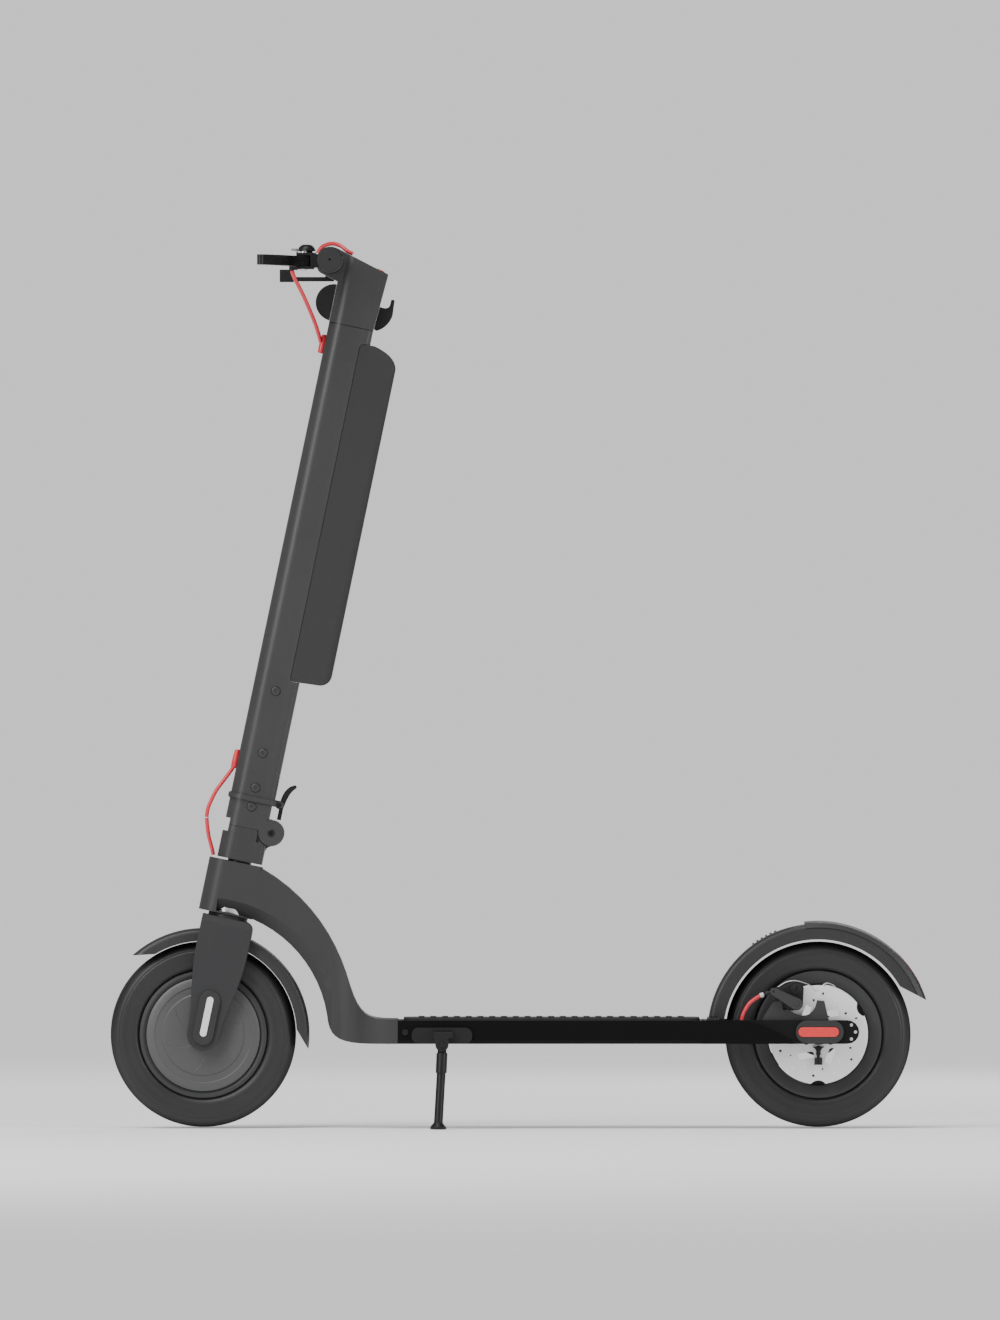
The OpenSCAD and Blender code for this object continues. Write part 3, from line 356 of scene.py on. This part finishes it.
def pale_floor(name):
    """Matt studio floor with a little light of its own"""
    made = Finish(name, Specular_IOR_Level=0.0)
    cloud = made.place.noise(3, 4)
    made.feed("Base Color", cloud.blend((0.81, 0.81, 0.81, 1), (0.83, 0.83, 0.83, 1)))
    made.feed("Roughness", cloud * 0.1 + 0.8)
    made.shader.inputs["Emission Color"].default_value = (1, 1, 1, 1)
    made.shader.inputs["Emission Strength"].default_value = FLOOR_GLOW
    return made.material


frame_paint = coated("frame_paint", (0.036, 0.036, 0.0372), rough=0.36)
stem_paint = coated("stem_paint", (0.040, 0.040, 0.0412), rough=0.36, shadowed_seam=(up_stem, 981))
fork_paint = coated("fork_paint", (0.030, 0.030, 0.0312), rough=0.4)
deck_paint = coated("deck_paint", (0.003, 0.003, 0.0033), rough=0.5, cloud=0.2, Specular_IOR_Level=0.1)
arm_paint = coated("arm_paint", (0.006, 0.006, 0.0064), rough=0.42, Specular_IOR_Level=0.15)
fender_plastic = coated("fender_plastic", (0.030, 0.030, 0.0305), rough=0.4, depth=0.06)
black_plastic = coated("black_plastic", (0.008, 0.008, 0.0085), rough=0.42, depth=0.06)
battery_plastic = coated("battery_plastic", (0.026, 0.026, 0.026), rough=0.6, depth=0.08, cloud=0.05,
                         shadowed_seam=(back_of_stem, 17))
mat_rubber = coated("mat_rubber", (0.020, 0.020, 0.020), rough=0.75, grain=1100, depth=0.15, cloud=0.2)
grip_rubber = coated("grip_rubber", (0.018, 0.018, 0.018), rough=0.68, grain=1300, depth=0.12)
black_steel = coated("black_steel", (0.020, 0.020, 0.021), rough=0.36, Metallic=0.4)
cast_black = coated("cast_black", (0.016, 0.016, 0.0166), rough=0.5, grain=700, depth=0.12)
bracket_paint = coated("bracket_paint", (0.035, 0.035, 0.036), rough=0.5, grain=900, depth=0.08)
rim_paint = coated("rim_paint", (0.036, 0.036, 0.0372), rough=0.42)
bright_steel = metal("bright_steel", (0.62, 0.61, 0.60), rough=0.3)
white_plastic = coated("white_plastic", (0.62, 0.62, 0.62), rough=0.35)
zinc_steel = metal("zinc_steel", (0.50, 0.50, 0.49), rough=0.4)
battery_metal = metal("battery_metal", (0.30, 0.27, 0.24), rough=0.4, draw=(1, 1, 0.04))
cooling_metal = metal("cooling_metal", (0.55, 0.55, 0.57), rough=0.42)
winding_copper = metal("winding_copper", (0.72, 0.33, 0.16), rough=0.42)
cell_wrap = coated("cell_wrap", (0.05, 0.20, 0.42), rough=0.35, Coat_Weight=0.3)
disc_steel = turned_metal("disc_steel", (0.95, 0.95, 0.95), rear_axle, rough=0.4)
front_rubber = tyre_rubber("front_rubber", front_axle)
rear_rubber = tyre_rubber("rear_rubber", rear_axle)
cover_paint = hub_paint("cover_paint", front_axle)
red_reflector = reflector("red_reflector", (0.80, 0.02, 0.02))
white_reflector = reflector("white_reflector", (0.88, 0.88, 0.88))
red_sheath = cable_sheath("red_sheath", (0.62, 0.02, 0.035))
lamp_lens = lens("lamp_lens")
display_glass = dark_glass("display_glass")

FINISH_OF = {
    "neck_frame": frame_paint, "deck_shell": deck_paint, "deck_mat": mat_rubber,
    "rear_fork": arm_paint, "axle_caps": fender_plastic, "rear_reflectors": red_reflector,
    "rear_axle": zinc_steel, "rear_fender": fender_plastic, "tail_light": red_reflector,
    "kick_bracket": black_steel, "controller": cooling_metal, "headset_bearings": bright_steel,
    "caliper_bracket": bracket_paint, "caliper_body": cast_black, "frame_screws": black_steel,
    "caliper_arm": bracket_paint, "kick_leg": black_steel, "rear_rim": rim_paint,
    "rear_bearings": bright_steel, "brake_disc": disc_steel, "disc_bolts": black_steel,
    "rear_valve": black_plastic, "fork": fork_paint, "fork_caps": fender_plastic,
    "front_reflectors": white_reflector, "front_axle": zinc_steel, "motor_stator": winding_copper,
    "front_fender": fender_plastic, "stem_base": frame_paint, "fold_pin": black_steel,
    "motor_shell": rim_paint, "motor_covers": cover_paint, "front_bearings": bright_steel,
    "stem_foot": stem_paint, "stem_tube": stem_paint, "stem_screws": black_steel,
    "stem_head": stem_paint, "bag_hook": black_steel, "headlight": black_plastic,
    "headlight_lens": lamp_lens, "handlebar": black_steel, "grips": grip_rubber,
    "lever_perch": black_plastic, "bell": black_plastic, "throttle_body": black_plastic,
    "display": display_glass, "bar_cables": red_sheath, "loop_cable_upper": red_sheath,
    "loop_cable_lower": red_sheath, "rear_cable": red_sheath, "latch_lever": black_steel,
    "brake_lever": black_steel, "throttle_paddle": black_plastic, "bell_striker": bright_steel,
    "power_button": red_reflector, "battery_cover": battery_plastic, "battery_body": battery_metal,
    "battery_cells": cell_wrap, "front_tyre": front_rubber, "rear_tyre": rear_rubber,
}


def dress(piece, finish):
    """Gives a piece one finish and no other"""
    piece.data.materials.clear()
    piece.data.materials.append(finish)


for name, finish in FINISH_OF.items():
    dress(nodes[name], finish)

# ---- Modelling ----

SMOOTH_BELOW = math.radians(38)
BEVEL_ABOVE = math.radians(32)
BEVEL_STEPS = 3
ROUTE_STEPS = 6


def only(piece):
    """Selects one object and nothing else"""
    bpy.ops.object.select_all(action="DESELECT")
    piece.select_set(True)
    bpy.context.view_layer.objects.active = piece


def edit_all():
    bpy.ops.object.mode_set(mode="EDIT")
    bpy.ops.mesh.select_all(action="SELECT")


def use_modifier(piece, kind, **settings):
    """Adds a modifier and applies it"""
    only(piece)
    bpy.ops.object.modifier_add(type=kind)
    modifier = piece.modifiers[-1]
    for name, value in settings.items():
        setattr(modifier, name, value)
    bpy.ops.object.modifier_apply(modifier=modifier.name)


def soften(piece, width):
    """Rounds the sharp edges, and keeps flat faces flat"""
    use_modifier(piece, "BEVEL", width=width * MM, segments=BEVEL_STEPS, limit_method="ANGLE",
                 angle_limit=BEVEL_ABOVE, use_clamp_overlap=True, miter_outer="MITER_ARC")
    only(piece)
    bpy.ops.object.shade_smooth_by_angle(angle=SMOOTH_BELOW)
    use_modifier(piece, "WEIGHTED_NORMAL", keep_sharp=True, weight=80)


def hand_over(piece, finish, body, node=None):
    """Gives a piece its finish and its body, and hides the CAD node it stands for if there is one"""
    dress(piece, finish)
    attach(piece, body)
    if node:
        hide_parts(node)
    return piece


def rounded(node, width):
    """The shape of a CAD node with its edges rounded, standing in its place"""
    piece = bpy.data.objects.new(node + "_finished", nodes[node].data.copy())
    bpy.context.scene.collection.objects.link(piece)
    only(piece)
    edit_all()
    bpy.ops.mesh.customdata_custom_splitnormals_clear()
    bpy.ops.mesh.remove_doubles(threshold=0.004 * MM)
    bpy.ops.mesh.dissolve_limited(angle_limit=math.radians(0.4))
    bpy.ops.object.mode_set(mode="OBJECT")
    soften(piece, width)
    return hand_over(piece, FINISH_OF[node], nodes[node]["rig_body"], node)


def turned(name, profile, base, axis, steps=48, closed=False):
    """A profile in radius and height, in millimetres, spun about an axis through base"""
    axis = Vector(axis).normalized()
    # About Y the outline starts on X, so that its steps fall on whole degrees
    side = Vector((1, 0, 0)) if abs(axis.y) > 0.99 else axis.orthogonal().normalized()
    points = [base + (side * r + axis * h) * MM for r, h in profile]
    targets = points[1:] + points[:1] if closed else points[1:]
    bpy.ops.object.select_all(action="DESELECT")
    bpy.ops.mesh.primitive_plane_add(size=MM, location=points[0])
    piece = bpy.context.object
    piece.name = name
    piece.data.name = name
    edit_all()
    bpy.ops.mesh.select_mode(type="VERT")
    bpy.ops.mesh.merge(type="CENTER")
    for here, there in zip(points, targets):
        bpy.ops.mesh.extrude_vertices_move(TRANSFORM_OT_translate={"value": there - here})
    edit_all()
    bpy.ops.mesh.spin(steps=steps, angle=math.tau, center=base, axis=axis)
    bpy.ops.mesh.select_all(action="SELECT")
    bpy.ops.mesh.remove_doubles(threshold=0.01 * MM)
    bpy.ops.mesh.normals_make_consistent(inside=False)
    bpy.ops.object.mode_set(mode="OBJECT")
    bpy.ops.object.transform_apply(location=True, rotation=True, scale=True)
    bpy.ops.object.shade_smooth_by_angle(angle=SMOOTH_BELOW)
    return piece


def curved(points):
    """A smooth route through chosen points"""
    route = []
    for i in range(len(points) - 1):
        a, b = points[max(i - 1, 0)], points[i]
        c, d = points[i + 1], points[min(i + 2, len(points) - 1)]
        for step in range(ROUTE_STEPS):
            t = step / ROUTE_STEPS
            route.append(0.5 * (2 * b + (c - a) * t + (2 * a - 5 * b + 4 * c - d) * t ** 2
                                + (3 * b - a - 3 * c + d) * t ** 3))
    return route + [points[-1]]


def tube(name, points, radius, sides=12):
    """A round tube along a smooth route, closed at both ends"""
    line = bpy.data.curves.new(name, "CURVE")
    line.dimensions = "3D"
    line.bevel_depth = radius * MM
    line.bevel_resolution = sides // 4
    line.use_fill_caps = True
    route = curved(points)
    spline = line.splines.new("POLY")
    spline.points.add(len(route) - 1)
    for point, place in zip(spline.points, route):
        point.co = (*place, 1)
    piece = bpy.data.objects.new(name, line)
    bpy.context.scene.collection.objects.link(piece)
    only(piece)
    bpy.ops.object.convert(target="MESH")
    piece = bpy.context.object
    edit_all()
    bpy.ops.mesh.remove_doubles(threshold=0.005 * MM)
    bpy.ops.mesh.normals_make_consistent(inside=False)
    bpy.ops.object.mode_set(mode="OBJECT")
    bpy.ops.object.shade_smooth_by_angle(angle=SMOOTH_BELOW)
    return piece


def joined(pieces, name):
    """Several objects as one"""
    bpy.ops.object.select_all(action="DESELECT")
    for piece in pieces:
        piece.select_set(True)
    bpy.context.view_layer.objects.active = pieces[0]
    bpy.ops.object.join()
    pieces[0].name = name
    return pieces[0]


# ---- Tyres ----


def tyre_profile():
    """Closed outline of a tyre in radius and width, with a soft flank and a grooved tread"""
    r = tyre_r / MM
    w = tyre_half_w / MM
    flank = [(46.6, 14), (46.6, 9.4), (41, 9.3), (40, 5.5), (38.5, 3.2), (36, 1.9), (33, 1.0),
             (30, 0.7), (27, 0.9), (24, 0.9), (21, 0.5), (18, 0.3), (15.5, 0.4), (14, 0.8)]
    shoulder = [(13.2, 1.5), (12.4, 1.3), (10, 2.2), (7, 4.4), (4.4, 7.6), (2.6, 11), (1.6, 13.4)]
    tread = [(3.0, 14.0), (3.0, 15.6), (0.9, 16.2), (0.35, 19), (0.1, 22.4), (1.9, 23.0),
             (1.9, 24.6), (0.05, 25.2)]
    lining = [(37, 14), (28, 7), (18, 6), (11, 10), (8, 16)]
    half = [(r - down, w - inward) for down, inward in flank + shoulder + tread]
    inner = [(r - down, w - inward) for down, inward in lining]
    outside = half + [(a, -b) for a, b in reversed(half)]
    inside = [(a, -b) for a, b in inner] + [(a, b) for a, b in reversed(inner)]
    return outside + inside


TYRE_STEPS = 180
STEPS_PER_CUT = 3
CUT_FROM_RIM = 7.1
CUT_FROM_MIDDLE = 12.6
CUT_FROM_SIDE = 3
CUT_MARGIN = 0.5
CUT_DEPTH = 1.4
FACING_OUT = 0.45


def tyre(name, centre, finish, body, node):
    """A tyre with short cuts pressed into both shoulders of its tread"""
    piece = turned(name, tyre_profile(), centre, across, steps=TYRE_STEPS, closed=True)
    for polygon in piece.data.polygons:
        place = polygon.center - centre
        radius = math.hypot(place.x, place.z)
        turn = round(math.degrees(math.atan2(place.z, place.x)) * TYRE_STEPS / 360 - 0.5)
        outward = polygon.normal.dot(Vector((place.x, 0, place.z)).normalized())
        on_shoulder = radius > tyre_r - CUT_FROM_RIM * MM and outward > FACING_OUT
        in_reach = CUT_FROM_MIDDLE * MM < abs(place.y) < tyre_half_w - CUT_FROM_SIDE * MM
        polygon.select = on_shoulder and in_reach and turn % STEPS_PER_CUT == 0
    only(piece)
    bpy.ops.object.mode_set(mode="EDIT")
    bpy.ops.mesh.select_mode(type="FACE")
    bpy.ops.mesh.inset(thickness=CUT_MARGIN * MM, use_boundary=True)
    bpy.ops.transform.shrink_fatten(value=-CUT_DEPTH * MM)
    bpy.ops.object.mode_set(mode="OBJECT")
    bpy.ops.object.shade_smooth_by_angle(angle=SMOOTH_BELOW)
    return hand_over(piece, finish, body, node)


tyre("front_tyre_rubber", front_axle, front_rubber, "front_wheel", "front_tyre")
tyre("rear_tyre_rubber", rear_axle, rear_rubber, "rear_wheel", "rear_tyre")

# ---- Pieces that keep their CAD shape, with rounded edges ----

EDGES = {
    "neck_frame": 2.2, "deck_shell": 0.8, "deck_mat": 0.4, "rear_fork": 0.8, "axle_caps": 0.6,
    "rear_reflectors": 0.3, "rear_fender": 0.8, "tail_light": 0.3, "kick_bracket": 0.6,
    "caliper_bracket": 0.4, "caliper_body": 0.8, "caliper_arm": 0.4, "kick_leg": 0.6,
    "rear_rim": 0.6, "brake_disc": 0.25, "fork": 1.6, "fork_caps": 0.7, "front_reflectors": 0.4,
    "front_fender": 0.7, "stem_base": 0.8, "motor_shell": 0.6, "motor_covers": 0.6,
    "stem_foot": 0.9, "stem_tube": 0.8, "stem_head": 0.9, "bag_hook": 0.6,
    "headlight": 0.8, "headlight_lens": 0.5, "lever_perch": 0.8, "brake_lever": 1.0,
    "throttle_body": 0.8, "throttle_paddle": 0.8, "display": 0.4, "bell": 0.5,
    "latch_lever": 0.6, "battery_cover": 3.5, "battery_body": 0.5, "frame_screws": 0.2,
    "disc_bolts": 0.2, "fold_pin": 0.4,
}
for node, width in EDGES.items():
    rounded(node, width)

# ---- Red cables ----

CABLE_R = 2.75
BOOT_L = 26
loop_upper = [on_stem(back, 0, up) for back, up in (
    (-33.9, 386), (-33.9, 366), (-41, 348), (-50.8, 326.5), (-56.3, 303), (-55.9, 289.5))]
loop_lower = [on_stem(back, 0, up) for back, up in (
    (-55.7, 288.5), (-49, 267.5), (-41, 251), (-36.5, 241))]
brake_run = [on_bar(*p) for p in (
    (-52, -71, -13), (-48, -69, -24), (-36, -54, -48), (-21, -20, -84), (-12.6, 0, -112))]
bar_run = [on_bar(*p) for p in (
    (-20, 60, 6), (-18, 46, 13), (-11, 34, 22), (2, 24, 25.5), (14, 16, 22), (22, 12, 15.5),
    (30, 10, 11.5))]
rear_run = [at_rear_axle(*p) for p in (
    (-104, -50, 20), (-101, -50, 30), (-93, -50, 43), (-79, -50, 53))]


def boot(name, place):
    """A short sleeve that seals a cable where it enters the stem"""
    sleeve = [(0, 0), (3.1, 0), (4.3, 1.2), (4.6, 8), (4.4, 16), (3.5, BOOT_L - 2), (2.4, BOOT_L),
              (0, BOOT_L)]
    return turned(name, sleeve, place, up_stem, steps=24)


hand_over(tube("rear_brake_cable", rear_run, CABLE_R), red_sheath, "frame", "rear_cable")
hand_over(joined([tube("brake_run", brake_run, CABLE_R), tube("bar_run", bar_run, CABLE_R),
                  boot("brake_boot", on_stem(-33.2, 0, 937))],
                 "handlebar_cables"), red_sheath, "stem", "bar_cables")


def bending(piece, finish, node):
    """A cable across a joint: given its finish and left in place at rest, on neither body"""
    dress(piece, finish)
    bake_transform(piece)
    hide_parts(node)
    return piece


boot_foot = on_stem(-33.4, 0, 362)
stem_loop = joined([tube("stem_loop", loop_upper, CABLE_R), boot("loop_boot", boot_foot)],
                   "stem_loop_cable")
bending(stem_loop, red_sheath, "loop_cable_upper")
bending(tube("neck_loop_cable", loop_lower, CABLE_R), red_sheath,
        "loop_cable_lower")

# ---- Rear caliper: cable end, adjuster and return spring ----

SPRING_R = 0.75
SPRING_SIDES = 8
cable_end = rear_run[-1]
into_caliper = at_rear_axle(-58, -50, 60) - cable_end
hand_over(turned("cable_ferrule", [(0, 0), (3.1, 0), (3.3, 0.5), (3.3, 4.6), (2.6, 5.2), (0, 5.2)],
                 cable_end, into_caliper, steps=24), white_plastic, "frame")
adjuster = [(0, 5), (1.7, 5), (1.7, 8), (3.4, 8.3), (3.4, 11.8), (2.2, 12), (2.2, 14.5), (3.0, 14.8),
            (3.0, 19), (0, 19)]
hand_over(turned("cable_adjuster", adjuster, cable_end, into_caliper, steps=24), cast_black, "frame")
spring_run = [at_rear_axle(x, -61, z) for x, z in (
    (-55, 65), (-43.5, 71.8), (-31, 73.5), (-18.5, 70.3), (-10.2, 66.6), (-6, 61), (-1.9, 59.5),
    (3.3, 64.5), (9.6, 70), (16.9, 69.1), (23, 65.5))]
hand_over(tube("return_spring", spring_run, SPRING_R, SPRING_SIDES), bright_steel, "frame")

# ---- Handlebar grips ----

RIBS = 18
GRIP_L = 117
BAR_R = 11.3


def grip(side):
    """A ribbed rubber sleeve with a rounded end and a small vent"""
    low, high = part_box("grips")
    start = bar_centre + across * side * (high.y - GRIP_L * MM)
    r = (high.z - low.z) / 2 / MM
    pitch = (GRIP_L - 14) / RIBS
    ribs = []
    for i in range(RIBS):
        foot = 6 + i * pitch
        ribs += [(r - 1, foot), (r - 0.25, foot + 0.25 * pitch), (r - 0.1, foot + 0.45 * pitch),
                 (r - 0.3, foot + 0.65 * pitch), (r - 1, foot + 0.85 * pitch)]
    outline = [(BAR_R, 0), (r - 1.6, 0), (r - 0.2, 1.4), (r - 0.2, 3.6), (r - 1, 5)] + ribs + [
        (r - 0.1, GRIP_L - 7), (r, GRIP_L - 6), (r, GRIP_L - 1.6), (r - 1.6, GRIP_L), (1.6, GRIP_L),
        (1.6, GRIP_L - 3.4), (BAR_R, GRIP_L - 3.4)]
    return turned("grip", outline, start, across * side, steps=40, closed=True)


hand_over(joined([grip(-1), grip(1)], "grips_ribbed"), grip_rubber, "stem", "grips")

# ---- Screws on the sides of the stem ----

SCREW_S = 342
SCREW_R = 6
SCREW_H = 1.2
STEM_HALF_W = 25


def button_screw(place, outward, r, h):
    """Low round head with a well for the key"""
    head = [(0, 0.3 * h), (0.36 * r, 0.3 * h), (0.40 * r, 0.95 * h), (0.70 * r, h), (0.88 * r, 0.8 * h),
            (0.96 * r, 0.4 * h), (0.96 * r, -0.4), (0, -0.4)]
    return turned("screw", head, place, outward, steps=28)


def shadow_ring(place, outward, r):
    """Dark ring under a screw's head: painted shade, standing for the shadow in the gap around the head
    """
    ring = [(0.8 * r, -0.2), (1.12 * r, -0.2), (1.12 * r, 0.12), (1.0 * r, 0.2), (0.8 * r, 0.2)]
    return turned("shadow_ring", ring, place, outward, steps=28, closed=True)


heads = []
rings = []
for side in (-1, 1):
    for up in (SCREW_S - 26, SCREW_S, SCREW_S + 48, SCREW_S + 134):
        seat = on_stem(1, side * STEM_HALF_W, up)
        heads.append(button_screw(seat, across * side, SCREW_R, SCREW_H))
        # each screw gets a dark ring, painted shade of the gap around its head
        rings.append(shadow_ring(seat, across * side, SCREW_R))
hand_over(joined(heads, "stem_screw_heads"), stem_paint, "stem", "stem_screws")
hand_over(joined(rings, "stem_screw_shadow_rings"), black_plastic, "stem")

# ---- Bolts of the brake lever and the caliper ----

LEVER_Y = -94
lever_bolts = [button_screw(on_bar(-36, LEVER_Y - 2, side * 11), (0, 0, side), 4.6, 2.4)
               for side in (-1, 1)]
lever_bolts += [button_screw(on_bar(-17, LEVER_Y + y, 9), (0, 0, 1), 2.6, 1.6) for y in (-5, 5)]
hand_over(joined(lever_bolts, "lever_bolts"), bright_steel, "stem")
caliper_bolts = [button_screw(at_rear_axle(-30, -60, 62), (0, -1, 0), 4.8, 2.2),
                 button_screw(at_rear_axle(-56, -52, 52), (0, -1, 0), 3.6, 2.0),
                 button_screw(at_rear_axle(-50, -52, 40), (0, -1, 0), 3.2, 1.8)]
hand_over(joined(caliper_bolts, "caliper_bolts"), black_steel, "frame")

# ---- Floor, light and camera ----

FLOOR_SIZE = 300
FLOOR_GAP = 0.0005
FLOOR_SHADE = 0.82
SUN_POWER = 2.4
SUN_SPREAD = math.radians(40)
SUN_SLANT = 0.9
ROOM_LIGHT = 0.22

bpy.ops.object.select_all(action="DESELECT")
bpy.ops.mesh.primitive_plane_add(size=FLOOR_SIZE, location=(0, 0, -FLOOR_GAP))
floor = bpy.context.object
floor.name = "studio_floor"
floor.data.materials.append(pale_floor("pale_floor"))


def softbox(name, place, aim, size, power):
    """A soft lamp that faces a point"""
    lamp = bpy.data.lights.new(name, "AREA")
    lamp.shape = "RECTANGLE"
    lamp.size, lamp.size_y = size
    lamp.energy = power
    box = bpy.data.objects.new(name, lamp)
    bpy.context.scene.collection.objects.link(box)
    box.location = place
    box.rotation_euler = (Vector(aim) - Vector(place)).to_track_quat("-Z", "Y").to_euler()


softbox("softbox_left", (-2.8, -3.0, 2.4), (0, 0, 0.5), (1.4, 2.8), 120)
softbox("softbox_right", (3.2, -2.2, 1.4), (0, 0, 0.4), (0.9, 2.4), 55)
softbox("softbox_behind", (1.2, 3.6, 2.4), (0, 0, 0.5), (2.0, 2.0), 40)
sun = bpy.data.lights.new("ceiling_light", "SUN")
sun.energy = SUN_POWER
sun.angle = SUN_SPREAD
ceiling = bpy.data.objects.new("ceiling_light", sun)
bpy.context.scene.collection.objects.link(ceiling)
ceiling.rotation_euler = (math.radians(22), math.radians(-14), 0)

# The room lights the scooter faintly; the backdrop seen behind it is as bright as the far floor
world = bpy.data.worlds.new("studio")
bpy.context.scene.world = world
world.use_nodes = True
sky = world.node_tree
background = sky.nodes["Background"]
path = sky.nodes.new("ShaderNodeLightPath")
tint = sky.nodes.new("ShaderNodeMix")
tint.data_type = "RGBA"
tint.inputs[6].default_value = (ROOM_LIGHT, ROOM_LIGHT, ROOM_LIGHT * 1.02, 1)
far_floor = FLOOR_SHADE * (ROOM_LIGHT + SUN_POWER * SUN_SLANT / math.pi) + FLOOR_GLOW
tint.inputs[7].default_value = (far_floor, far_floor, far_floor, 1)
sky.links.new(path.outputs["Is Camera Ray"], tint.inputs[0])
sky.links.new(tint.outputs[2], background.inputs["Color"])

# The camera looks along +Y from far away, level with the middle of the view
VIEW_WIDTH = 1.357
VIEW_HEIGHT = VIEW_WIDTH * 1320 / 1000
VIEW_MIDDLE_X = -0.0244
VIEW_MIDDLE_Z = 0.6348
CAMERA_DISTANCE = 32.0
lens_data = bpy.data.cameras.new("camera")
lens_data.sensor_width = 36
lens_data.lens = lens_data.sensor_width * CAMERA_DISTANCE / VIEW_HEIGHT
lens_data.clip_end = 200
camera = bpy.data.objects.new("camera", lens_data)
bpy.context.scene.collection.objects.link(camera)
camera.location = (VIEW_MIDDLE_X, -CAMERA_DISTANCE, VIEW_MIDDLE_Z)
camera.rotation_euler = (math.pi / 2, 0, 0)
bpy.context.scene.camera = camera
